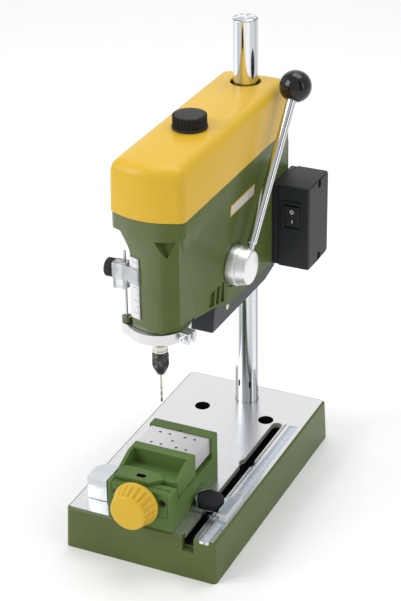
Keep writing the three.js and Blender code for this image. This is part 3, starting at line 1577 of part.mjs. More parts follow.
function makeFeedArm() {
  const tilt = -Math.asin(feedSwing / feedArmReach);
  const tip = [-feedArmReach * Math.cos(tilt), -feedArmReach * Math.sin(tilt)];
  const points = [];
  const arc = (centre, radius, start, end) => {
    const steps = 10;
    for (let i = 0; i <= steps; i += 1) {
      const angle = start + i / steps * (end - start);
      points.push([centre[0] + radius * Math.cos(angle), centre[1] + radius * Math.sin(angle)]);
    }
  };
  const along = Math.PI + tilt;
  arc([0, 0], feedArmBossRadius, along + Math.PI / 2, along + Math.PI * 1.5);
  arc(tip, feedArmTipRadius, along - Math.PI / 2, along + Math.PI / 2);
  const half = feedArmWidth / 2;
  const arm = prismX(points, -half, half);
  return cut(arm, rod(feedShaftRadius, -half - overrun, half + overrun, "x", axis));
}

addPiece(feed, "feed_arm", makeFeedArm(), darkGrey, 0.4, 0.8);

// Lever: turned hub on the right, a bright rod leaning back and a black ball
const lever = new THREE.Group();
lever.position.x = leverX;
lever.rotation.set(
  -THREE.MathUtils.degToRad(leverLeanDegrees), THREE.MathUtils.degToRad(leverTiltDegrees), 0,
);
feed.add(lever);

function makeHub() {
  const stepX = hubRootX + (hubEndX - hubRootX) * (1 - hubStepShare);
  const hub = turned([
    [0, hubRootX],
    [hubRootRadius, hubRootX],
    [hubRootRadius, stepX],
    [hubStepRadius, stepX + gap],
    [hubEndRadius + hubChamfer, hubEndX - hubChamfer],
    [hubEndRadius, hubEndX],
    [0, hubEndX],
  ], "x", axis, bigRoundCount);
  const shaftBore = rod(feedShaftRadius, hubRootX - overrun, hubSocket, "x", axis);
  const geometry = new THREE.CylinderGeometry(
    leverNeckRadius + gap, leverNeckRadius + gap, leverNeckEnd, roundCount,
  );
  geometry.rotateX(Math.PI / 2);
  geometry.translate(0, 0, leverRootDepth + leverNeckEnd / 2 - gap);
  geometry.applyMatrix4(new THREE.Matrix4().makeRotationFromEuler(lever.rotation));
  geometry.translate(lever.position.x, 0, 0);
  return cut(hub, shaftBore, toSolid(geometry));
}

addPiece(feed, "lever_hub", makeHub(), aluminium, 0.3, 0.9);

const ballFlat = leverLength - ballRadius * ballFlatShare;
const leverTop = ballFlat + ballBoreDepth - gap;
addPiece(lever, "lever_rod", turned([
  [0, leverRootDepth],
  [leverNeckRadius, leverRootDepth],
  [leverNeckRadius, leverNeckEnd],
  [leverRadius, leverNeckEnd + leverRadius],
  [leverRadius, leverTop],
  [0, leverTop],
], "z", axis), steel, 0.15, 1);

function makeBall() {
  const profile = [];
  const steps = 12;
  const start = Math.acos(ballFlatShare);
  const bore = leverRadius + gap;
  profile.push([0, ballFlat + ballBoreDepth], [bore, ballFlat + ballBoreDepth], [bore, ballFlat]);
  for (let i = 0; i <= steps; i += 1) {
    const angle = start + i / steps * (Math.PI - start);
    const radius = i === steps ? 0 : ballRadius * Math.sin(angle);
    profile.push([radius, leverLength - ballRadius * Math.cos(angle)]);
  }
  return turned(profile, "z", axis);
}

addPiece(lever, "lever_ball", makeBall(), blackPlastic, 0.12, 0);

// Switch box on the right wall at the back: a shallow base, a deep cover and a rocker
const switchBox = new THREE.Group();
head.add(switchBox);

function switchSlab(x0, x1, inset, edge) {
  const halfY = (switchBackY - switchFrontY) / 2 - inset;
  const halfZ = (switchTop - switchBottom) / 2 - inset;
  const centreY = (switchBackY + switchFrontY) / 2;
  const centreZ = (switchTop + switchBottom) / 2;
  const ring = (shrink, x) => roundedRectangle(
    halfY - shrink, halfZ - shrink, switchEdge, switchCornerSteps,
  ).map(([y, z]) => [x, centreY + y, centreZ + z]);
  return loft([ring(0, x0), ring(0, x1 - edge), ring(edge, x1)]);
}

const rockerHalfWidth = rockerFrameWidth / 2 - rockerFrameRim;
const rockerHalfHeight = rockerFrameHeight / 2 - rockerFrameRim;
const switchScrewHeights = [switchBottom + switchScrewInset, switchTop - switchScrewInset];

function makeSwitchCover() {
  const shell = switchSlab(switchSeamX + gap, switchRightX, 0, switchEdge / 2);
  const seat = box(
    rockerX - rockerHalfWidth - rockerFrameRim / 2 - gap,
    rockerX + rockerHalfWidth + rockerFrameRim / 2 + gap,
    switchFrontY - overrun, switchFrontY + rockerFrameDepth + gap,
    rockerZ - rockerHalfHeight - rockerFrameRim / 2 - gap,
    rockerZ + rockerHalfHeight + rockerFrameRim / 2 + gap,
  );
  const sinks = switchScrewHeights.map((z) => rod(
    switchScrewRadius + gap, switchRightX - switchScrewSink - switchScrewLength, switchRightX + overrun,
    "x", [0, switchScrewY, z], smallRoundCount,
  ));
  return cut(shell, seat, ...sinks);
}

addPiece(switchBox, "switch_base", switchSlab(
  bodyHalfWidth + gap, switchSeamX, switchSeamStep, switchSeamStep,
), blackPlastic, 0.5, 0);
addPiece(switchBox, "switch_cover", makeSwitchCover(), blackPlastic, 0.5, 0);

for (const [i, side] of ["lower", "upper"].entries()) {
  const top = switchRightX - switchScrewSink;
  const centre = [0, switchScrewY, switchScrewHeights[i]];
  const screw = rod(switchScrewRadius, top - switchScrewLength + gap, top, "x", centre, smallRoundCount);
  const slot = box(
    top - switchScrewSink / 2, top + overrun, switchScrewY - switchScrewRadius - gap,
    switchScrewY + switchScrewRadius + gap, switchScrewHeights[i] - gap, switchScrewHeights[i] + gap,
  );
  addPiece(switchBox, `switch_screw_${side}`, cut(screw, slot), darkGrey, 0.4, 0.8);
}

function makeRockerFrame() {
  const rim = box(
    rockerX - rockerFrameWidth / 2, rockerX + rockerFrameWidth / 2,
    switchFrontY - gap - rockerFrameLip, switchFrontY - gap,
    rockerZ - rockerFrameHeight / 2, rockerZ + rockerFrameHeight / 2,
  );
  const wall = rockerFrameRim / 2;
  const body = box(
    rockerX - rockerHalfWidth - wall, rockerX + rockerHalfWidth + wall,
    switchFrontY - gap - rockerFrameLip, switchFrontY + rockerFrameDepth,
    rockerZ - rockerHalfHeight - wall, rockerZ + rockerHalfHeight + wall,
  );
  const mouth = box(
    rockerX - rockerHalfWidth, rockerX + rockerHalfWidth,
    switchFrontY - overrun, switchFrontY + rockerFrameDepth - rockerFrameRim,
    rockerZ - rockerHalfHeight, rockerZ + rockerHalfHeight,
  );
  return cut(joined(rim, body), mouth);
}

addPiece(switchBox, "rocker_frame", makeRockerFrame(), blackPlastic, 0.45, 0);

// Rocker: shallow V front, tilted to its off position about a pin across the frame
const rocker = new THREE.Group();
rocker.position.set(rockerX, switchFrontY, rockerZ);
rocker.rotation.x = THREE.MathUtils.degToRad(rockerTiltDegrees / 2);
switchBox.add(rocker);
const rockerLong = rockerHalfHeight - 2 * gap;
addPiece(rocker, "rocker", prismX([
  [-rockerBulge, 0],
  [-rockerBulge - gap, rockerLong - gap],
  [rockerDepth / 2, rockerLong - gap],
  [rockerDepth, 0],
  [rockerDepth / 2, -rockerLong + gap],
  [-rockerBulge - gap, -rockerLong + gap],
].reverse(), -rockerHalfWidth + gap, rockerHalfWidth - gap), blackPlastic, 0.4, 0);

export default drill;
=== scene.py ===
import json

import bmesh
import bpy
import numpy as np
from mathutils import Matrix, Vector


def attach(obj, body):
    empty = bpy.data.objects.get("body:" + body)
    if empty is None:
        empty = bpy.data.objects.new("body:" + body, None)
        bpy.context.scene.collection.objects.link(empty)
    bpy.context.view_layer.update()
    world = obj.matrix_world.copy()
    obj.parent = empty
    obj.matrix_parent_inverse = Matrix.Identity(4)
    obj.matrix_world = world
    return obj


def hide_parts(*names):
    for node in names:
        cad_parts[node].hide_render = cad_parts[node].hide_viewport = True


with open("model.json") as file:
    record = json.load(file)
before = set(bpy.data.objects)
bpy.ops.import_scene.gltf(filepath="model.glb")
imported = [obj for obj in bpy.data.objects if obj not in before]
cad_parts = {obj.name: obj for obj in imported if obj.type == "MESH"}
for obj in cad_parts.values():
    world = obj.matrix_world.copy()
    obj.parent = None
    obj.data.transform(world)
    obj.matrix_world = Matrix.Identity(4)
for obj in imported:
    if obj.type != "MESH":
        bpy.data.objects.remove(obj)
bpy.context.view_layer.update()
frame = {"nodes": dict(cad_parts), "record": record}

# Camera
# A long lens in front of the drill, to its right and above it, aimed at the middle of the column. Its place,
# its angles and its focal length were found by resecting the photograph.
camera_at = np.array([516.10, -1083.46, 809.87]) / 1000
turn, dip, roll = np.radians([25.42, 28.07, -1.05])
focal_pixels, picture_height, sensor_width = 1800, 601, 36
ahead = np.array([-np.sin(turn) * np.cos(dip), np.cos(turn) * np.cos(dip), -np.sin(dip)])
level = np.array([np.cos(turn), np.sin(turn), 0])
upright = np.cross(level, ahead)
across = np.cos(roll) * level + np.sin(roll) * upright
above = -np.sin(roll) * level + np.cos(roll) * upright
camera = bpy.data.objects.new("camera", bpy.data.cameras.new("camera"))
bpy.context.scene.collection.objects.link(camera)
camera.matrix_world = Matrix([
    [*map(float, (across[k], above[k], -ahead[k])), float(camera_at[k])] for k in range(3)
] + [[0, 0, 0, 1]])
camera.data.sensor_width = sensor_width
camera.data.lens = focal_pixels * sensor_width / picture_height
bpy.context.scene.camera = camera
bpy.context.scene.view_settings.view_transform = "Standard"


# Studio
# A white room with soft square panels. The one at the left is the key light; those at the right, above and
# behind fill the shadows and draw the edges.
world = bpy.data.worlds.new("room")
world.use_nodes = True
room_light = world.node_tree.nodes["Background"].inputs
room_light["Color"].default_value = (1.0, 1.0, 1.0, 1)
room_light["Strength"].default_value = 0.60
bpy.context.scene.world = world


def panel(name, at, aim, size, power):
    """A square soft light at a point, in metres, turned to face another point."""
    light = bpy.data.lights.new(name, "AREA")
    light.shape = "RECTANGLE"
    light.size, light.size_y = size
    light.energy = power
    lamp = bpy.data.objects.new(name, light)
    bpy.context.scene.collection.objects.link(lamp)
    lamp.location = at
    lamp.rotation_euler = (Vector(aim) - Vector(at)).to_track_quat("-Z", "Y").to_euler()


panel("panel_left", (-1.0, -0.9, 1.1), (0, 0, 0.15), (0.9, 0.9), 12)
panel("panel_right", (1.5, -0.4, 0.7), (0, 0, 0.15), (0.7, 1.0), 3.5)
panel("panel_above", (0.1, 0.5, 1.7), (0, 0, 0.1), (1.3, 0.9), 11)
panel("panel_back", (-0.9, 1.9, 1.2), (0, 0, 0.2), (2.2, 1.4), 5)


# Floor and card
# The floor is pale paper that runs out of sight. The card is black and upright, to the right of the camera.
# It is seen only in reflections, and puts dark streaks on the bright metal. Both are finished with the two
# classes below, as every piece of the drill is.
class Value:
    """One output of a shader node; Python's operators add the Math nodes between it and another value."""

    def __init__(self, finish, socket):
        self.finish, self.socket = finish, socket

    def maths(self, operation, *values):
        return self.finish.node("ShaderNodeMath", {"operation": operation}, *values)

    def __add__(self, other):
        return self.maths("ADD", self, other)

    def __radd__(self, other):
        return self.maths("ADD", other, self)

    def __sub__(self, other):
        return self.maths("SUBTRACT", self, other)

    def __rsub__(self, other):
        return self.maths("SUBTRACT", other, self)

    def __mul__(self, other):
        return self.maths("MULTIPLY", self, other)

    def __rmul__(self, other):
        return self.maths("MULTIPLY", other, self)

    def __gt__(self, other):
        return self.maths("GREATER_THAN", self, other)

    def __lt__(self, other):
        return self.maths("LESS_THAN", self, other)

    def __abs__(self):
        return self.maths("ABSOLUTE", self)

    def fraction(self):
        return self.maths("FRACT", self)

    def most(self, other):
        return self.maths("MAXIMUM", self, other)


class Finish:
    """A node material on Object coordinates, with one Principled shader; its constants are set by name."""

    def __init__(self, name, **constants):
        self.material = bpy.data.materials.new(name)
        self.material.use_nodes = True
        self.tree = self.material.node_tree
        self.shader = self.tree.nodes["Principled BSDF"]
        for words, value in constants.items():
            self.shader.inputs[words.replace("_", " ").title().replace("Ior", "IOR")].default_value = value
        place = self.tree.nodes.new("ShaderNodeTexCoord")
        self.place = Value(self, place.outputs["Object"])
        self.x, self.y, self.z = (
            self.node("ShaderNodeSeparateXYZ", {}, self.place, output=k) for k in range(3)
        )

    def node(self, kind, settings, *values, output=0, **named):
        """Adds a node: settings first, then values or links for its sockets in order, or by name."""
        made = self.tree.nodes.new(kind)
        for words, value in settings.items():
            setattr(made, words, value)
        sockets = [s for s in made.inputs if s.enabled]
        pairs = list(zip(sockets, values)) + [(made.inputs[k], v) for k, v in named.items()]
        for socket, value in pairs:
            if isinstance(value, Value):
                self.tree.links.new(value.socket, socket)
            elif value is not None:
                socket.default_value = value
        outputs = [s for s in made.outputs if s.enabled]
        return Value(self, outputs[output])

    def noise(self, scale, detail=3.0, stretch=(1, 1, 1)):
        """Cloudy noise, finer along an axis where stretch is larger; from 0 to 1."""
        place = self.node("ShaderNodeVectorMath", {"operation": "MULTIPLY"}, self.place, stretch)
        return self.node("ShaderNodeTexNoise", {}, Vector=place, Scale=scale, Detail=detail)

    def length(self, *parts):
        """The length of a vector: the root of the sum of its three parts squared."""
        whole = self.node("ShaderNodeCombineXYZ", {}, *parts)
        return self.node("ShaderNodeVectorMath", {"operation": "LENGTH"}, whole)

    def steps(self, value, low, high):
        """0 where value is at or below low, 1 at or above high, even between them."""
        return self.node("ShaderNodeMapRange", {}, value, low, high, 0.0, 1.0)

    def mix(self, share, first, second):
        """A colour between first, where share is 0, and second, where it is 1."""
        first, second = ((*c, 1) if isinstance(c, tuple) else c for c in (first, second))
        made = self.tree.nodes.new("ShaderNodeMix")
        made.data_type = "RGBA"
        for socket, value in zip((made.inputs[0], made.inputs[6], made.inputs[7]), (share, first, second)):
            if isinstance(value, Value):
                self.tree.links.new(value.socket, socket)
            else:
                socket.default_value = value
        return Value(self, made.outputs[2])

    def bumps(self, height, strength, distance):
        """Turns a height into a normal."""
        return self.node("ShaderNodeBump", {}, Strength=strength, Distance=distance, Height=height)

    def feed(self, **named):
        """Links values to the shader: colour, roughness, metallic, coat, normal."""
        names = {
            "colour": "Base Color", "roughness": "Roughness", "metallic": "Metallic",
            "coat": "Coat Weight", "normal": "Normal",
        }
        for words, value in named.items():
            self.tree.links.new(value.socket, self.shader.inputs[names[words]])
        return self.material


def sheet(name, corners, paper, low, high, scale):
    """A flat piece of paper between four corners, its colour going cloudily from low to high."""
    mesh = bpy.data.meshes.new(name)
    mesh.from_pydata(corners, [], [(0, 1, 2, 3)])
    piece = bpy.data.objects.new(name, mesh)
    bpy.context.scene.collection.objects.link(piece)
    piece.data.materials.append(paper.feed(colour=paper.mix(paper.noise(scale), low, high)))
    return piece


floor_half = 9
floor = sheet(
    "floor", [(x * floor_half, y * floor_half, 0) for x, y in ((-1, -1), (1, -1), (1, 1), (-1, 1))],
    Finish("floor_paper", roughness=0.9), (0.93, 0.93, 0.93), (0.95, 0.95, 0.95), 40.0)

card_bearing = np.radians(67.4)
card_width, card_distance, card_foot, card_top = 0.42, 1.3, 0.02, 1.9
outward = np.array([np.sin(card_bearing), -np.cos(card_bearing), 0])
sideways = np.array([-outward[1], outward[0], 0]) * card_width / 2
card_corners = [
    tuple(map(float, outward * card_distance + side * sideways + (0, 0, height)))
    for side, height in ((-1, card_foot), (1, card_foot), (1, card_top), (-1, card_top))
]
card = sheet(
    "card", card_corners, Finish("card_black", roughness=1.0, specular_ior_level=0.0),
    (0.010, 0.011, 0.012), (0.020, 0.021, 0.023), 9.0)
card.visible_camera = False
card.visible_shadow = False
card.visible_diffuse = False


# Base casting
# Cast iron, painted green outside, with its top and the slot machined. The top is bright steel; the slot
# and the two bolt holes are coloured in painted shade. The paint is cut back to a thin rim by the grinding.
def solid(name, vertices, faces, round_off=0.0, sharp=32):
    """A mesh object in metres: doubles merged, normals outward, and its sharp edges rounded."""
    mesh = bpy.data.meshes.new(name)
    mesh.from_pydata(np.asarray(vertices, float).reshape(-1, 3).tolist(), [], [list(f) for f in faces])
    weld, sliver = 2e-6, 1e-6
    work = bmesh.new()
    work.from_mesh(mesh)
    bmesh.ops.remove_doubles(work, verts=work.verts, dist=weld)
    bmesh.ops.dissolve_degenerate(work, edges=work.edges, dist=sliver)
    bmesh.ops.recalc_face_normals(work, faces=work.faces)
    work.to_mesh(mesh)
    work.free()
    mesh.polygons.foreach_set("use_smooth", np.ones(len(mesh.polygons), bool))
    mesh.set_sharp_from_angle(angle=np.radians(sharp))
    piece = bpy.data.objects.new(name, mesh)
    bpy.context.scene.collection.objects.link(piece)
    if round_off:
        bevel = piece.modifiers.new("rounded", "BEVEL")
        bevel.width = round_off / 1000
        bevel.segments = 2
        bevel.limit_method = "ANGLE"
        bevel.angle_limit = np.radians(sharp)
        bevel.harden_normals = True
    return piece


def softened(node, name, round_off, sharp=32):
    """A copy of a CAD node with its flat faces joined and its sharp edges rounded, round_off in mm."""
    source = frame["nodes"][node].data
    points = np.empty(len(source.vertices) * 3)
    source.vertices.foreach_get("co", points)
    faces = [list(p.vertices) for p in source.polygons]
    piece = solid(name, points, faces, round_off, sharp)
    flat = np.radians(0.6)
    work = bmesh.new()
    work.from_mesh(piece.data)
    bmesh.ops.dissolve_limit(
        work, angle_limit=flat, verts=work.verts, edges=work.edges, use_dissolve_boundaries=False)
    work.to_mesh(piece.data)
    work.free()
    piece.data.polygons.foreach_set("use_smooth", np.ones(len(piece.data.polygons), bool))
    piece.data.set_sharp_from_angle(angle=np.radians(sharp))
    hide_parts(node)
    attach(piece, next(b for b, nodes in frame["record"]["behaviour"]["bodies"].items() if node in nodes))
    return piece


def dress(piece, material):
    """Gives a piece one material, in place of what it came with."""
    piece.data.materials.clear()
    piece.data.materials.append(material)


def green_paint(name, shine=0.30, tint=(1, 1, 1)):
    """Olive enamel: slow changes of shade, and the faint ripple of sprayed paint. Its two shades are
    multiplied by tint. Gives the finish, its colour, its normal and its roughness."""
    dark, light = np.array([(0.080, 0.110, 0.027), (0.100, 0.132, 0.035)]) * tint
    paint = Finish(name, specular_ior_level=shine, coat_weight=0.05, coat_roughness=0.12)
    shade = paint.noise(18.0, 4.0)
    colour = paint.mix(paint.steps(shade, 0.35, 0.65), tuple(dark), tuple(light))
    ripple = paint.noise(900.0, 2.0)
    pits = paint.noise(260.0, 3.0)
    return paint, colour, paint.bumps(ripple + pits, 0.10, 0.0004), 0.34 + shade * 0.14


base = softened("base_casting", "base", 0.5)
paint, green, ripple, gloss = green_paint("base_enamel")
grind = paint.noise(700.0, 4.0, (1, 0.03, 0.2))

# Where the metal is bare, in metres: the ground top, the slot, the ruler's recess and the two bolt holes.
ground_above, ground_half_width, ground_half_depth = 0.0352, 0.0598, 0.1090
slot_x, slot_half, slot_front, slot_back = 0.0395, 0.0085, -0.1062, 0.0640
slot_floor, slot_neck = 0.0222, 0.0308
recess_x, recess_half, recess_back, recess_floor = 0.0529, 0.0036, 0.0630, 0.0330
hole_x, hole_y, hole_radius = 0.0283, 0.0622, 0.0065
on_top = (paint.z > ground_above) * (abs(paint.x) < ground_half_width) * (abs(paint.y) < ground_half_depth)
inside_slot = (abs(paint.x - slot_x) < slot_half) * (paint.y < slot_back) * (paint.y > slot_front)
in_slot = inside_slot * (paint.z > slot_floor) * (1 - on_top)
by_ruler = (abs(paint.x - recess_x) < recess_half) * (paint.z > recess_floor) * (paint.y < recess_back)
in_hole = (paint.length(abs(paint.x) - hole_x, paint.y - hole_y, 0.0) < hole_radius) * (1 - on_top)
bare = on_top.most(in_slot).most(by_ruler).most(in_hole)

# Thin dark lines in the ground top: one along each side of the ruler, and one nearer the slot.
ruler_x, ruler_half, ruler_back, groove_x = 0.0498, 0.0035, 0.0625, 0.0453
side_line_half, groove_half = 0.00035, 0.00022
beside_ruler = abs(abs(paint.x - ruler_x) - ruler_half) < side_line_half
ruler_lines = beside_ruler.most(abs(paint.x - groove_x) < groove_half) * (paint.y < ruler_back)

steel = paint.mix(grind, (0.66, 0.66, 0.67), (0.74, 0.74, 0.75))
# Painted shade in the slot: dark olive grey on its walls, near black below the neck.
slot_painted_shade = paint.mix(paint.z > slot_neck, (0.005, 0.005, 0.005), (0.34, 0.35, 0.30))
steel = paint.mix(in_slot, steel, slot_painted_shade)
# Painted shade in the bolt holes: near black below the ground top.
steel = paint.mix(in_hole, steel, (0.010, 0.011, 0.009))
steel = paint.mix(ruler_lines, steel, (0.060, 0.065, 0.060))
dress(base, paint.feed(
    colour=paint.mix(bare, green, steel),
    roughness=gloss * (1 - bare) + (0.20 + grind * 0.08) * bare,
    metallic=on_top.most(by_ruler) * 0.90 * (1 - ruler_lines),
    normal=ripple,
))

# Ruler strip
# A rolled aluminium strip, set in a recess beside the slot. It is engraved with a line for each millimetre
# and a longer one for each centimetre.
ruler = frame["nodes"]["ruler_strip"]
strip = Finish("engraved_strip", metallic=0.25)
above_zero = 500
millimetre = (strip.y * 1000 + above_zero).fraction()
centimetre = (strip.y * 100 + above_zero).fraction()
from_middle = strip.x - ruler_x
short_line, long_line = 0.0022, 0.0042
mark = (millimetre < 0.22) * (from_middle < short_line)
mark = mark.most((centimetre < 0.03) * (from_middle < long_line))
brushed = strip.noise(900.0, 3.0, (1, 0.04, 1))
dress(ruler, strip.feed(
    colour=strip.mix(mark, strip.mix(brushed, (0.42, 0.49, 0.60), (0.74, 0.79, 0.86)), (0.05, 0.05, 0.06)),
    roughness=0.30 + brushed * 0.14,
))


# Column
# A hard-chromed ground bar that stands in a bore of the base. It is polished lengthwise, so the streaks run
# up it; the dark bluish ones are painted reflections in its colour.
def quads(rows, steps):
    """The faces between neighbouring rings of points, where each ring joins its own start."""
    row, step = np.meshgrid(np.arange(rows - 1), np.arange(steps), indexing="ij")
    here, after = row * steps + step, row * steps + (step + 1) % steps
    return np.stack([here, after, after + steps, here + steps], -1).reshape(-1, 4)


def turned(name, rings, centre, toward, round_off=0.0, steps=96, sharp=32):
    """A round piece: a ring of radius r at height h is centre + h toward + r (cos a side + sin a other).
    Lengths are in mm, and a radius is one number or one for each step round."""
    toward = np.array(toward, float) / np.linalg.norm(toward)
    side = np.cross(toward, (0, 0, 1) if abs(toward[2]) < 0.9 else (1, 0, 0))
    side /= np.linalg.norm(side)
    other = np.cross(toward, side)
    angle = np.arange(steps) * 2 * np.pi / steps
    spokes = np.cos(angle)[:, None] * side + np.sin(angle)[:, None] * other
    radii = np.array([np.broadcast_to(r, (steps,)) for r, _ in rings], float)
    heights = np.array([h for _, h in rings], float)
    points = np.array(centre) + heights[:, None, None] * toward + radii[:, :, None] * spokes
    return solid(name, points / 1000, quads(len(rings), steps), round_off, sharp)


upward = (0, 0, 1)
column_foot = (0, 89, 0)
column = turned("polished_column", [
    (0, 5.6), (9.6, 5.6), (9.6, 364.5), (8.6, 365.5), (0, 365.5),
], column_foot, upward, round_off=0.3)
chrome = Finish("drawn_chrome", metallic=1.0)
# Partly painted reflection: dark bluish streaks up the chrome stand in for dark surroundings, mixed with
# polish.
polish_and_painted_reflection = chrome.noise(230.0, 2.0, (1, 1, 0.004))
fine = chrome.noise(1500.0, 2.0, (1, 1, 0.01))
dress(column, chrome.feed(
    colour=chrome.mix(chrome.steps(polish_and_painted_reflection, 0.40, 0.62), (0.36, 0.40, 0.45), (0.93, 0.93, 0.94)),
    roughness=0.05 + fine * 0.06,
))
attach(column, "base")
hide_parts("column")

# Set screw of the column
# A blackened steel grub screw in the back of the base, turned in until it grips the column's foot. The head's
# clamp screw, the vise's plate screws and the switch box's screws are of the same steel.
set_screw = frame["nodes"]["column_set_screw"]
black_steel = Finish("blackened_steel", metallic=0.9)
oxide = black_steel.noise(500.0, 4.0)
dress(set_screw, black_steel.feed(
    colour=black_steel.mix(oxide, (0.035, 0.037, 0.040), (0.10, 0.10, 0.105)),
    roughness=0.30 + oxide * 0.20,
    normal=black_steel.bumps(oxide, 0.15, 0.0002),
))


# Fence bar
# A bright ground bar that lies over the table, with its tall box at the left and a thin bent lip round the
# knob at the right. It slides along the slot.
fence = softened("fence_bar", "fence", 0.35)
bright = Finish("bright_plate", metallic=1.0)
rub = bright.noise(500.0, 4.0, (1, 0.1, 1))
cloud = bright.noise(60.0, 2.0)
dress(fence, bright.feed(
    colour=bright.mix(cloud, (0.47, 0.50, 0.53), (0.74, 0.77, 0.79)),
    roughness=0.10 + rub * 0.12,
))

# Cursor
# A clear acrylic plate, fixed on the fence's right end, that reads the ruler. Its cut edges are coloured
# near white: a painted highlight where they catch the light.
# The depth stop's parts are of a clearer acrylic.
cursor = softened("fence_cursor", "cursor", 0.3)
clear = Finish("clear_acrylic", transmission_weight=0.72, ior=1.49)
cast = clear.noise(120.0, 2.0)
clear_finish = clear.feed(
    colour=clear.mix(cast, (0.90, 0.93, 0.95), (0.97, 0.98, 1.0)), roughness=0.05 + cast * 0.06)
tinted = Finish("cursor_acrylic", transmission_weight=0.45, ior=1.49)
cursor_right, cursor_forward, half_inside, half_along, edge_above = 0.0541, 0.067, 0.0036, 0.0152, 0.0420
# Painted highlight: near white at the plate's edges and above, as if they catch the light; bluish inside.
edge = abs(tinted.x - cursor_right) > half_inside
edge = edge.most(abs(tinted.y + cursor_forward) > half_along).most(tinted.z > edge_above)
tinted_cast = tinted.noise(150.0, 2.0)
inside = tinted.mix(tinted_cast, (0.42, 0.50, 0.58), (0.62, 0.70, 0.76))
dress(cursor, tinted.feed(
    colour=tinted.mix(edge, inside, (0.94, 0.96, 0.98)), roughness=0.06 + tinted_cast * 0.06))

# T-bolt
# Machined steel. Its head runs in the T-slot, and its stem stands up through the fence bar, where the knob
# turns on it.
t_bolt = frame["nodes"]["fence_tbolt"]
machined = Finish("machined_steel", metallic=1.0)
cut_marks = machined.noise(900.0, 3.0)
dress(t_bolt, machined.feed(
    colour=machined.mix(cut_marks, (0.50, 0.51, 0.53), (0.72, 0.73, 0.75)),
    roughness=0.22 + cut_marks * 0.14,
    normal=machined.bumps(cut_marks, 0.08, 0.0002),
))


# Fence knob
# Moulded black plastic with fine flutes round its edge. It turns on the T-bolt, and clamps the fence bar to
# the table.
def grip(radius, depth, count, steps, tight=1.0):
    """Radii of a fluted ring: radius less depth times a raised cosine, count times round; a higher tight
    makes narrow grooves between broad ridges."""
    angle = np.arange(steps) * 2 * np.pi / steps
    return radius - depth * ((1 + np.cos(count * angle)) / 2) ** tight


def moulded_black(name, low, high, roughness=0.42):
    """Black plastic, its colour going cloudily from low to high, with a fine even grain."""
    plastic = Finish(name, specular_ior_level=0.30)
    grain = plastic.noise(1400.0, 2.0)
    shade = plastic.noise(35.0, 3.0)
    return plastic.feed(
        colour=plastic.mix(shade, low, high),
        roughness=roughness + grain * 0.14,
        normal=plastic.bumps(grain, 0.22, 0.00025),
    )


fence_flutes, flute_steps = 32, 384
fluted = grip(10.2, 0.5, fence_flutes, flute_steps)
fence_knob = turned("fence_grip", [
    (0, 0), (9.2, 0), (fluted, 1.0), (fluted, 4.6), (grip(9.5, 0.35, fence_flutes, flute_steps), 5.2),
    (8.7, 5.25), (8.5, 5.6), (0, 5.6),
], (39.3, -68.7, 39.3), upward, steps=flute_steps)
dress(fence_knob, moulded_black("knob_black", (0.012, 0.013, 0.016), (0.020, 0.021, 0.026)))
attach(fence_knob, "fence_clamp")
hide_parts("fence_knob")


# Vise
# Painted castings: the body with the fixed jaw and the front block, its screwed front plate, and the moving
# jaw with an open pocket and a tongue. A small slot is sunk in the tongue, and coloured near black: painted
# shade.
paint, green, ripple, gloss = green_paint("vise_enamel", 0.14, (1.14, 1.44, 1.50))
dent_left, dent_forward, dent_half_width, dent_half_depth, tongue_top = 0.0030, 0.0985, 0.0036, 0.0021, 0.0709
# Painted shade: the slot in the tongue is coloured near black.
tongue_slot_shade = (abs(paint.x + dent_left) < dent_half_width) * (abs(paint.y + dent_forward) < dent_half_depth)
tongue_slot_shade = tongue_slot_shade * (paint.z < tongue_top)
vise_enamel = paint.feed(
    colour=paint.mix(tongue_slot_shade, green, (0.006, 0.007, 0.005)), roughness=gloss, normal=ripple)
for node, name in (("vise_body", "vise"), ("vise_front_plate", "vise_plate"), ("vise_jaw", "moving_jaw")):
    piece = softened(node, name, 0.6)
    dress(piece, vise_enamel)


# Screws of the front plate
# Two blackened socket screws, sunk almost flush in the plate. They hold it against the body's front block.
# A hexagon of varying radius makes their sockets.
def socket_ring(across_flats, steps):
    """Radii of a hexagon: half the distance across its flats over the cosine of the angle off each flat."""
    angle = np.arange(steps) * 2 * np.pi / steps
    return across_flats / 2 / np.cos((angle % (np.pi / 3)) - np.pi / 6)


forward = (0, -1, 0)
vise_x, screw_spread, screw_face, screw_height = 0.6, 18.9, -110, 59.5
socket_steps = 96
for side_name, x in (("left", vise_x - screw_spread), ("right", vise_x + screw_spread)):
    socket = socket_ring(2.5, socket_steps)
    screw = turned(f"plate_screw_{side_name}", [
        (0, -8), (1.6, -8), (1.6, -3), (2.75, -3), (2.75, -0.3), (2.45, 0), (1.6, 0),
        (socket, -0.1), (socket, -1.5), (0, -1.5),
    ], (x, screw_face, screw_height), forward, steps=socket_steps)
    dress(screw, black_steel.material)
    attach(screw, "vise")
    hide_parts(f"vise_plate_screw_{side_name}")

# Drilled block
# Fly-cut aluminium, gripped between the jaws, with a pattern of small drilled holes. The cutter leaves fine
# arcs on its top.
block = softened("work_block", "drilled_block", 0.25)
fly_cut = Finish("fly_cut_aluminium", metallic=0.85)
arcs = fly_cut.node("ShaderNodeTexWave", {"wave_type": "RINGS", "rings_direction": "Z"},
                    Vector=fly_cut.place, Scale=420.0, Distortion=1.5, Detail=2.0)
speck = fly_cut.noise(1200.0, 3.0)
dress(block, fly_cut.feed(
    colour=fly_cut.mix(speck, (0.58, 0.57, 0.58), (0.80, 0.79, 0.80)),
    roughness=0.34 + speck * 0.12,
    normal=fly_cut.bumps(arcs + speck, 0.12, 0.0002),
))

# Vise screw
# A steel spindle, turned from bar. It pushes the moving jaw, its shoulder bears on the plate from behind,
# and its front end carries the knob.
vise_spindle = turned("vise_screw_bar", [
    (0, 13.7), (3.5, 13.7), (3.5, -3.3), (5.5, -3.3), (5.5, -5.7), (3.5, -5.7), (3.5, -40), (0, -40),
], (vise_x, -110, 57.6), forward, round_off=0.2)
dress(vise_spindle, machined.material)
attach(vise_spindle, "vise_screw")
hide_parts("vise_spindle")


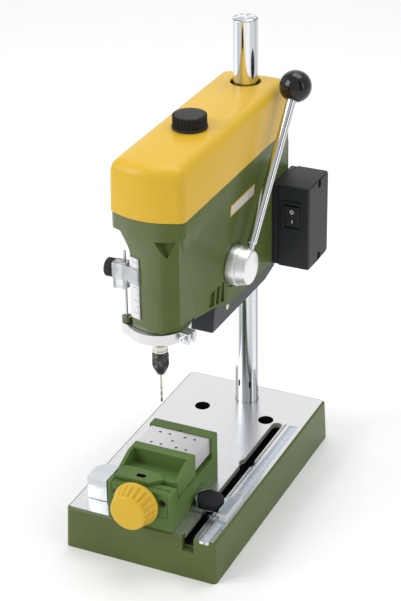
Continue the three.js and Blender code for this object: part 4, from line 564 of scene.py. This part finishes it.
# Vise knob
# Moulded yellow, with a round flange behind and broad ridges that run down to a smaller flat face. It sits
# on the front end of the vise screw.
def yellow_plastic(name):
    """Moulded yellow: a warm even colour that is a touch paler in patches, under a fine satin skin."""
    plastic = Finish(name, specular_ior_level=0.32)
    shade = plastic.noise(14.0, 3.0)
    skin = plastic.noise(1600.0, 2.0)
    return plastic.feed(
        colour=plastic.mix(shade, (0.650, 0.400, 0.022), (0.710, 0.450, 0.036)),
        roughness=0.28 + shade * 0.08,
        normal=plastic.bumps(skin, 0.12, 0.0002),
    )


groove_depth, groove_count, wheel_steps, groove_tightness = 1.35, 20, 480, 3.0


def vise_grip(radius, share):
    """Radii of the knob's ridges, its grooves cut to a share of their full depth."""
    return grip(radius, groove_depth * share, groove_count, wheel_steps, groove_tightness)


vise_knob = turned("vise_handwheel", [
    (0, 0), (17.0, 0), (17.55, 0.3), (17.8, 0.9), (17.8, 2.6), (17.5, 3.3), (17.2, 3.6),
    (vise_grip(17.15, 0.8), 3.8), (vise_grip(16.9, 1), 4.6), (vise_grip(15.5, 1), 10.0),
    (vise_grip(14.75, 1), 12.8), (vise_grip(14.55, 0.7), 13.6), (vise_grip(14.35, 0.25), 14.4),
    (14.1, 14.9), (13.6, 15.5), (12.8, 15.85), (11.6, 16.0), (0, 16.0),
], (vise_x, -114, 57.6), forward, steps=wheel_steps, sharp=50)
dress(vise_knob, yellow_plastic("knob_yellow"))
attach(vise_knob, "vise_screw")
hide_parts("vise_knob")


# Head housing
# One pressure casting, painted green: a faceted nose round the quill, a long body behind it, and a flared
# flange that carries the cover. The paint is glossier on the front of the nose.
housing = softened("head_housing", "housing", 0.6)
paint, green, ripple, gloss = green_paint("housing_enamel", 0.10)
gloss_front, gloss_back, gloss_left, gloss_right = -0.062, -0.046, 0.006, 0.016
at_front = 1 - paint.steps(paint.y, gloss_front, gloss_back)
at_front = at_front * (1 - paint.steps(paint.x, gloss_left, gloss_right))
dress(housing, paint.feed(
    colour=green, roughness=gloss - 0.06, coat=at_front * 0.85 + 0.05, normal=ripple))

# Clamp screw
# A blackened socket screw of the same steel as the column's, in the back of the housing. It draws the
# casting tight on the column.
clamp_screw = frame["nodes"]["head_clamp_screw"]
dress(clamp_screw, black_steel.material)

# Badge plate
# A thin bare aluminium plate with a yellow enamelled rim. It is glued on the housing's right wall, and
# leans out with it.
badge_y, badge_z, badge_foot = (-2.0, 41.5), (245.2, 254.4), 244.5
badge_back, badge_front, wall_lean = 26.85, 27.45, 0.0865
corners = np.array([
    (x + (z - badge_foot) * wall_lean, y, z)
    for x in (badge_back, badge_front) for y in badge_y for z in badge_z])
badge = solid("badge_plate", corners / 1000, [
    (0, 1, 3, 2), (4, 6, 7, 5), (0, 4, 5, 1), (2, 3, 7, 6), (0, 2, 6, 4), (1, 5, 7, 3)], 0.25)
enamel = Finish("badge_enamel", coat_weight=0.5, coat_roughness=0.08)
middle_y, middle_z, inside_rim_y, inside_rim_z = 0.01975, 0.2498, 0.0207, 0.0035
rim = 1 - (abs(enamel.y - middle_y) < inside_rim_y) * (abs(enamel.z - middle_z) < inside_rim_z)
rim_yellow = enamel.mix(enamel.noise(80.0), (0.66, 0.42, 0.02), (0.74, 0.48, 0.03))
dress(badge, enamel.feed(
    colour=enamel.mix(rim, (0.66, 0.67, 0.66), rim_yellow),
    roughness=0.22 + enamel.noise(300.0) * 0.1,
))
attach(badge, "head")


# Under cover
# A shallow pan, moulded in black plastic. It closes the long body from below, and one screw in its side
# holds it.
under = softened("under_cover", "under_pan", 0.7)
dress(under, moulded_black("pan_black", (0.030, 0.034, 0.042), (0.042, 0.047, 0.058), 0.36))

# Screw of the under cover
# A small steel screw, sunk in the side of the pan. Its passivated skin has the colour of brass, a little
# tarnished.
pan_screw = frame["nodes"]["under_cover_screw"]
brass = Finish("passivated_screw", metallic=1.0)
tarnish = brass.noise(400.0, 3.0)
dress(pan_screw, brass.feed(
    colour=brass.mix(tarnish, (0.74, 0.66, 0.44), (0.92, 0.87, 0.70)), roughness=0.22 + tarnish * 0.2))


# Motor, pulleys and belt
# They fill the tray under the cover: a steel can in its well, aluminium pulleys with V grooves, and a flat
# black belt. They show when the cover is lifted.
can_steel = Finish("can_steel", metallic=0.9)
rolled = can_steel.noise(300.0, 3.0, (1, 1, 0.2))
can_finish = can_steel.feed(
    colour=can_steel.mix(rolled, (0.10, 0.10, 0.11), (0.20, 0.20, 0.21)), roughness=0.34 + rolled * 0.16)
turned_metal = Finish("turned_aluminium", metallic=1.0)
lathe_lines = turned_metal.noise(1800.0, 2.0, (0.05, 0.05, 1))
pulley_finish = turned_metal.feed(
    colour=turned_metal.mix(lathe_lines, (0.66, 0.67, 0.69), (0.84, 0.85, 0.87)),
    roughness=0.24 + lathe_lines * 0.16,
    normal=turned_metal.bumps(lathe_lines, 0.10, 0.0002),
)
belt_rubber = Finish("belt_rubber")
dust = belt_rubber.noise(600.0, 4.0)
belt_finish = belt_rubber.feed(
    colour=belt_rubber.mix(dust, (0.012, 0.012, 0.012), (0.045, 0.045, 0.043)), roughness=0.72 + dust * 0.2)
for node, material in (
    ("motor_can", can_finish), ("motor_flange", pulley_finish), ("motor_pulley", pulley_finish),
    ("spindle_pulley", pulley_finish), ("motor_shaft", machined.material), ("drive_belt", belt_finish),
    ("cover_stud", machined.material), ("bearing_upper", machined.material),
    ("bearing_lower", machined.material),
):
    dress(frame["nodes"][node], material)


# Head cover
# A deep yellow lid, moulded, with a bowed front and a broad fillet all round its top. It drops over the
# flange, and the knob on the stud holds it down.
cover = softened("head_cover", "cover", 0.35, sharp=38)
dress(cover, yellow_plastic("cover_plastic"))

# Cover knob
# Black plastic on a thin flange, with pointed ridges that notch the edge of its flat top. It screws down on
# the stud.
knob_ridges, ridge_steps = 30, 480


def cover_grip(radius, depth):
    """Radii of the knob's ridges, with a groove of this depth between each two."""
    return grip(radius, depth, knob_ridges, ridge_steps, 0.7)


cover_knob = turned("cover_handnut", [
    (2.8, 4.8), (2.8, 0), (12.9, 0), (13.2, 0.3), (13.2, 1.3), (12.8, 1.7), (cover_grip(12.6, 1.1), 1.9),
    (cover_grip(12.6, 1.3), 2.6), (cover_grip(12.6, 1.3), 9.5), (cover_grip(12.3, 1.5), 10.1),
    (cover_grip(11.4, 0.9), 10.35), (10.2, 10.4), (0, 10.4), (0, 10.0), (0, 4.8), (2.8, 4.8),
], (0, -10, 315.1), upward, steps=ridge_steps)
dress(cover_knob, moulded_black("cover_knob_black", (0.016, 0.017, 0.016), (0.024, 0.025, 0.023), 0.46))
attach(cover_knob, "cover_screw")
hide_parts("cover_knob")


# Quill
# A ground steel sleeve that slides in the bore of the nose and carries the spindle's bearings. It ends just
# below the clamp ring.
quill_at = (0, -67.3, 0)
sleeve = softened("quill", "quill_sleeve", 0.2)
dress(sleeve, machined.material)

# Spindle
# Nickelled steel, turned, running in two bearings in the quill. Only its bright stepped collar shows,
# between the quill and the chuck.
nickel = Finish("nickelled_steel", metallic=1.0)
film = nickel.noise(300.0, 3.0)
nickel_finish = nickel.feed(
    colour=nickel.mix(film, (0.52, 0.49, 0.44), (0.80, 0.77, 0.70)), roughness=0.14 + film * 0.12)
spindle = turned("spindle_shaft", [
    (0, 161.3), (5.3, 161.3), (5.8, 161.8), (5.8, 163.0), (5.3, 163.3), (5.3, 163.8), (5.8, 164.1),
    (5.8, 167.2), (5.5, 167.6), (5.0, 167.9), (5.0, 307.5), (4.5, 308.0), (0, 308.0),
], quill_at, upward, round_off=0.15)
dress(spindle, nickel_finish)
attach(spindle, "spindle_unit")
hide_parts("spindle")


# Chuck
# A small three-jaw chuck of blackened steel: a knurled sleeve, screwed on the spindle, over a cone that holds
# the drill.
def knurl(radius, depth, count, steps, twist=0.0):
    """Radii of a knurled ring: radius less depth times a triangle wave, count times round, turned by
    twist."""
    angle = np.arange(steps) / steps * count + twist
    return radius - depth * np.abs(2 * (angle % 1) - 1)


chuck_radius, knurl_depth, knurl_count, chuck_steps = 6.25, 0.45, 30, 360


def crossed_knurl(twist):
    """Two knurls turned opposite ways, the deeper of them at each step round."""
    first, second = (knurl(chuck_radius, knurl_depth, knurl_count, chuck_steps, t) for t in (twist, -twist))
    return np.minimum(first, second)


knurl_low, knurl_high, knurl_rings = 151.4, 156.4, 11
knurl_heights = np.linspace(knurl_low, knurl_high, knurl_rings)
knurled = [(crossed_knurl(0.5 * k), h) for k, h in enumerate(knurl_heights)]
chuck = turned("chuck_sleeve", [
    (0, 149.5), (5.9, 149.5), (6.2, 149.8), (6.2, 150.9), (5.85, 151.2), *knurled, (5.85, 156.6),
    (6.15, 156.9), (6.15, 158.6), (5.7, 159.2), (5.7, 160.6), (5.4, 161.0), (0, 161.0),
], quill_at, upward, steps=chuck_steps)
chuck_black = Finish("chuck_black", metallic=0.85)
wear = chuck_black.noise(420.0, 4.0)
chuck_finish = chuck_black.feed(
    colour=chuck_black.mix(chuck_black.steps(wear, 0.45, 0.75), (0.045, 0.046, 0.048), (0.20, 0.195, 0.18)),
    roughness=0.26 + wear * 0.18,
)
dress(chuck, chuck_finish)
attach(chuck, "spindle_unit")
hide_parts("chuck_body")

cone = turned("chuck_cone", [
    (1.15, 146.7), (1.15, 142.7), (2.7, 142.7), (3.1, 143.0), (5.0, 147.0), (5.75, 148.6), (5.9, 149.2),
    (0, 149.2), (0, 146.7), (1.15, 146.7),
], quill_at, upward, round_off=0.1)
dress(cone, chuck_finish)
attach(cone, "spindle_unit")
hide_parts("chuck_nose")

# Twist drill
# Hardened steel, gripped by the chuck. Its section turns as it climbs: the radius is the drill's own, less
# two deep grooves on opposite sides, which fade out where the flutes end.
drill_radius, flute_depth, tip, flutes_end, flute_lead, fade_over = 0.85, 0.42, 119.0, 133.0, 11.0, 2.5
drill_rings, drill_steps = 57, 48
rise = np.linspace(tip, flutes_end, drill_rings)
around = np.arange(drill_steps) * 2 * np.pi / drill_steps
flute_turn = (rise - tip) / flute_lead * 2 * np.pi
fade = np.clip((flutes_end - rise) / fade_over, 0, 1)
groove = flute_depth * ((1 + np.cos(2 * (around[None, :] - flute_turn[:, None]))) / 2) ** 1.6 * fade[:, None]
bit = turned("twist_drill", [
    (0, 117.8), *[(drill_radius - g, h) for g, h in zip(groove, rise)],
    (drill_radius, 133.4), (drill_radius, 146.4), (0, 146.4),
], quill_at, upward, steps=drill_steps)
drill_steel = Finish("drill_steel", metallic=1.0)
up_shank = drill_steel.steps(drill_steel.z, 0.118, 0.134)
dress(bit, drill_steel.feed(
    colour=drill_steel.mix(up_shank, (0.16, 0.15, 0.13), (0.55, 0.50, 0.42)),
    roughness=0.20 + drill_steel.noise(700.0) * 0.15,
))
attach(bit, "spindle_unit")
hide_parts("drill_bit")


# Clamp ring
# A milled aluminium ring round the quill's foot, split at the right, with ears for its screw and an arm at
# the left that carries the depth stop's rod.
ring = softened("clamp_ring", "foot_ring", 0.4)
satin = Finish("satin_aluminium", metallic=1.0)
blast = satin.noise(1300.0, 2.0)
dress(ring, satin.feed(
    colour=satin.mix(satin.noise(60.0), (0.66, 0.66, 0.68), (0.80, 0.80, 0.82)),
    roughness=0.28 + blast * 0.12,
    normal=satin.bumps(blast, 0.14, 0.0002),
))

# Ring screw and nut
# A zinc-plated cap screw through the ring's two ears, with a hexagon nut on its end. Tightened, they close
# the split.
ear_turn, ear_reach, ear_height = np.radians(-14), 26.8, 182.4
ear_out = np.array([np.cos(ear_turn), np.sin(ear_turn), 0])
ear_across = np.array([-np.sin(ear_turn), np.cos(ear_turn), 0])
screw_at = np.array([quill_at[0], quill_at[1], ear_height]) + ear_out * ear_reach
socket = socket_ring(2.4, socket_steps)
ring_screw = turned("ring_cap_screw", [
    (0, -7.2), (1.6, -7.2), (1.6, 4.8), (2.8, 4.8), (2.8, 7.1), (2.5, 7.4), (1.7, 7.4),
    (socket, 7.3), (socket, 6.0), (0, 6.0),
], screw_at, -ear_across, steps=socket_steps)
zinc = Finish("zinc_plate", metallic=1.0)
spangle = zinc.noise(350.0, 2.0)
zinc_finish = zinc.feed(
    colour=zinc.mix(spangle, (0.62, 0.67, 0.70), (0.90, 0.92, 0.93)), roughness=0.14 + spangle * 0.12)
dress(ring_screw, zinc_finish)
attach(ring_screw, "quill_unit")
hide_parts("ring_screw")

ring_nut = softened("ring_nut", "ring_hex_nut", 0.25)
dress(ring_nut, zinc_finish)


# Stop rod
# A thin machined steel rod, fixed in the arm of the clamp ring. It rises along the nose and moves with the
# quill.
rod_x, rod_y = -20.8, -77.5
stop_rod = turned("stop_pillar", [
    (0, 178.6), (1.0, 178.6), (1.0, 243.4), (0.7, 243.8), (0, 243.8),
], (rod_x, rod_y, 0), upward, round_off=0.1, steps=48)
dress(stop_rod, machined.material)
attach(stop_rod, "quill_unit")
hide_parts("stop_rod")

# Stop block and pointer
# Both of clear acrylic: a block that slides on the rod, and a plate on it that reaches over the scale on the
# nose.
for node, name in (("stop_block", "stop_slider"), ("stop_pointer", "stop_window")):
    part = softened(node, name, 0.3)
    dress(part, clear_finish)

# Stop knob
# Moulded black plastic with fine flutes round its edge. Its stem goes into the block and clamps it on the
# rod.
stop_steps = 288
stop_edge = grip(6.9, 0.55, 24, stop_steps)
stop_knob = turned("stop_thumbscrew", [
    (0, -2.9), (2.0, -2.9), (2.0, 0), (6.2, 0), (stop_edge, 0.7), (stop_edge, 5.6),
    (6.1, 6.2), (5.4, 6.2), (5.2, 6.5), (0, 6.5),
], (-28.9, rod_y, 228.4), (-1, 0, 0), steps=stop_steps)
dress(stop_knob, moulded_black("stop_knob_black", (0.010, 0.010, 0.011), (0.018, 0.018, 0.020), 0.34))
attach(stop_knob, "stop_screw")
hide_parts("stop_knob")

# Depth scale
# An anodised strip, glued on the nose, with a line for each millimetre and longer ones for each fifth and
# tenth.
scale = frame["nodes"]["depth_scale"]
engraved = Finish("scale_strip", metallic=0.75)
level_mm = (engraved.z * 1000).fraction()
level_five = (engraved.z * 200).fraction()
level_ten = (engraved.z * 100).fraction()
scale_left, short_tick, fifth_tick, tenth_tick = 0.0052, -0.0022, -0.0036, -0.0056
from_middle = engraved.x + scale_left
ticks = (level_mm < 0.24) * (from_middle > short_tick)
ticks = ticks.most((level_five < 0.06) * (from_middle > fifth_tick))
ticks = ticks.most((level_ten < 0.03) * (from_middle > tenth_tick))
anodised = engraved.mix(engraved.noise(500.0), (0.66, 0.66, 0.68), (0.80, 0.80, 0.82))
dress(scale, engraved.feed(
    colour=engraved.mix(ticks, anodised, (0.04, 0.04, 0.045)),
    roughness=0.30 + engraved.noise(900.0) * 0.1,
))


# Lever hub
# Turned aluminium, with a shallow groove behind its coned face. It sits on the shaft that comes through the
# housing.
feed_at = np.array([0, 4, 204.1])
hub = turned("feed_hub", [
    (0, 26.1), (14.8, 26.1), (15.2, 26.5), (15.2, 32.9), (15.05, 33.2), (14.6, 33.3), (14.6, 33.7),
    (14.75, 33.9), (12.95, 41.1), (12.2, 41.8), (11.6, 42.0), (0, 42.0),
], feed_at, (1, 0, 0), round_off=0.12, steps=128)
lathe = Finish("hub_aluminium", metallic=1.0)
off_axis = lathe.length(0.0, lathe.y - feed_at[1] / 1000, lathe.z - feed_at[2] / 1000)
turn_lines = lathe.node("ShaderNodeTexNoise", {}, Vector=lathe.node(
    "ShaderNodeCombineXYZ", {}, lathe.x * 3, off_axis * 6, 0.0), Scale=420.0, Detail=3.0)
dress(hub, lathe.feed(
    colour=lathe.mix(turn_lines, (0.80, 0.80, 0.82), (0.97, 0.97, 0.97)),
    roughness=0.26 + turn_lines * 0.18,
    normal=lathe.bumps(turn_lines, 0.18, 0.0002),
))
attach(hub, "feed_lever")
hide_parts("lever_hub")

# Lever bar
# A chromed steel rod, necked at its foot, where it screws into the hub. It leans back, and a little
# outwards.
lean, tilt = np.radians([35.8, 2.25])
lever_way = np.array([np.sin(tilt), np.sin(lean) * np.cos(tilt), np.cos(lean) * np.cos(tilt)])
lever_at = feed_at + (36.5, 0, 0)
lever = turned("lever_bar", [
    (0, 8), (2.7, 8), (2.7, 17.2), (3.7, 18.6), (3.7, 137.8), (0, 137.8),
], lever_at, lever_way, round_off=0.3, steps=64)
lever_chrome = Finish("lever_chrome", metallic=1.0)
haze = lever_chrome.noise(350.0, 3.0)
dress(lever, lever_chrome.feed(
    colour=lever_chrome.mix(haze, (0.62, 0.64, 0.67), (0.74, 0.75, 0.77)), roughness=0.04 + haze * 0.04))
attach(lever, "feed_lever")
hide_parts("lever_rod")

# Lever ball
# Polished black resin, moulded round the end of the bar: a sphere with the bar's bore in it, under a thin
# clear gloss.
ball_radius, ball_middle, ball_top, bore_radius = 12.3, 140.2, 152.5, 3.8
polar = np.linspace(np.arccos(0.9), np.pi, 40)
ball = turned("lever_ball_knob", [
    (0, 137.9), (bore_radius, 137.9), (bore_radius, 129.1),
    *[(ball_radius * np.sin(a), ball_middle - ball_radius * np.cos(a)) for a in polar[:-1]], (0, ball_top),
], lever_at, lever_way, steps=96, sharp=50)
resin = Finish("ball_resin", specular_ior_level=0.25, coat_weight=0.4, coat_roughness=0.03)
swirl = resin.noise(60.0, 3.0)
dress(ball, resin.feed(
    colour=resin.mix(swirl, (0.004, 0.004, 0.005), (0.010, 0.010, 0.011)), roughness=0.08 + swirl * 0.06))
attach(ball, "feed_lever")
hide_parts("lever_ball")

# Feed shaft and arm
# They are inside the head: a machined steel shaft, and a blackened arm on it whose tip moves the quill up
# and down.
dress(frame["nodes"]["feed_shaft"], machined.material)
dress(frame["nodes"]["feed_arm"], black_steel.material)


# Switch box
# Two moulded shells, the deep one outside, held together by two sunk screws. A thin frame in the front takes
# the rocker.
box_black = moulded_black("box_black", (0.016, 0.019, 0.023), (0.022, 0.026, 0.031), 0.44)
for node, name, edge in (
    ("switch_base", "switch_back", 0.5), ("switch_cover", "switch_shell", 0.9),
    ("rocker_frame", "switch_bezel", 0.3),
):
    part = softened(node, name, edge)
    dress(part, box_black)
for node in ("switch_screw_lower", "switch_screw_upper"):
    dress(frame["nodes"][node], black_steel.material)

# Rocker
# Black plastic; it tips about a pin across its frame. A ring stands above for off and a bar below for on,
# printed white on its front.
rocker = softened("rocker", "rocker_key", 0.4)
key = Finish("rocker_plastic", specular_ior_level=0.5)
key_x, key_z, key_front, mark_rise, ring_radius, bar_half, line_half = (
    0.0442, 0.2147, 0.0769, 0.0042, 0.0013, 0.0015, 0.0004)
up = key.z - key_z
off_mark = abs(key.length(key.x - key_x, up - mark_rise, 0.0) - ring_radius) < line_half
on_mark = (abs(key.x - key_x) < line_half) * (abs(up + mark_rise) < bar_half)
printed = off_mark.most(on_mark) * (key.y < key_front)
key_black = key.mix(key.noise(60.0), (0.012, 0.012, 0.014), (0.020, 0.020, 0.023))
dress(rocker, key.feed(
    colour=key.mix(printed, key_black, (0.72, 0.72, 0.72)),
    roughness=0.30 + key.noise(900.0) * 0.1,
))
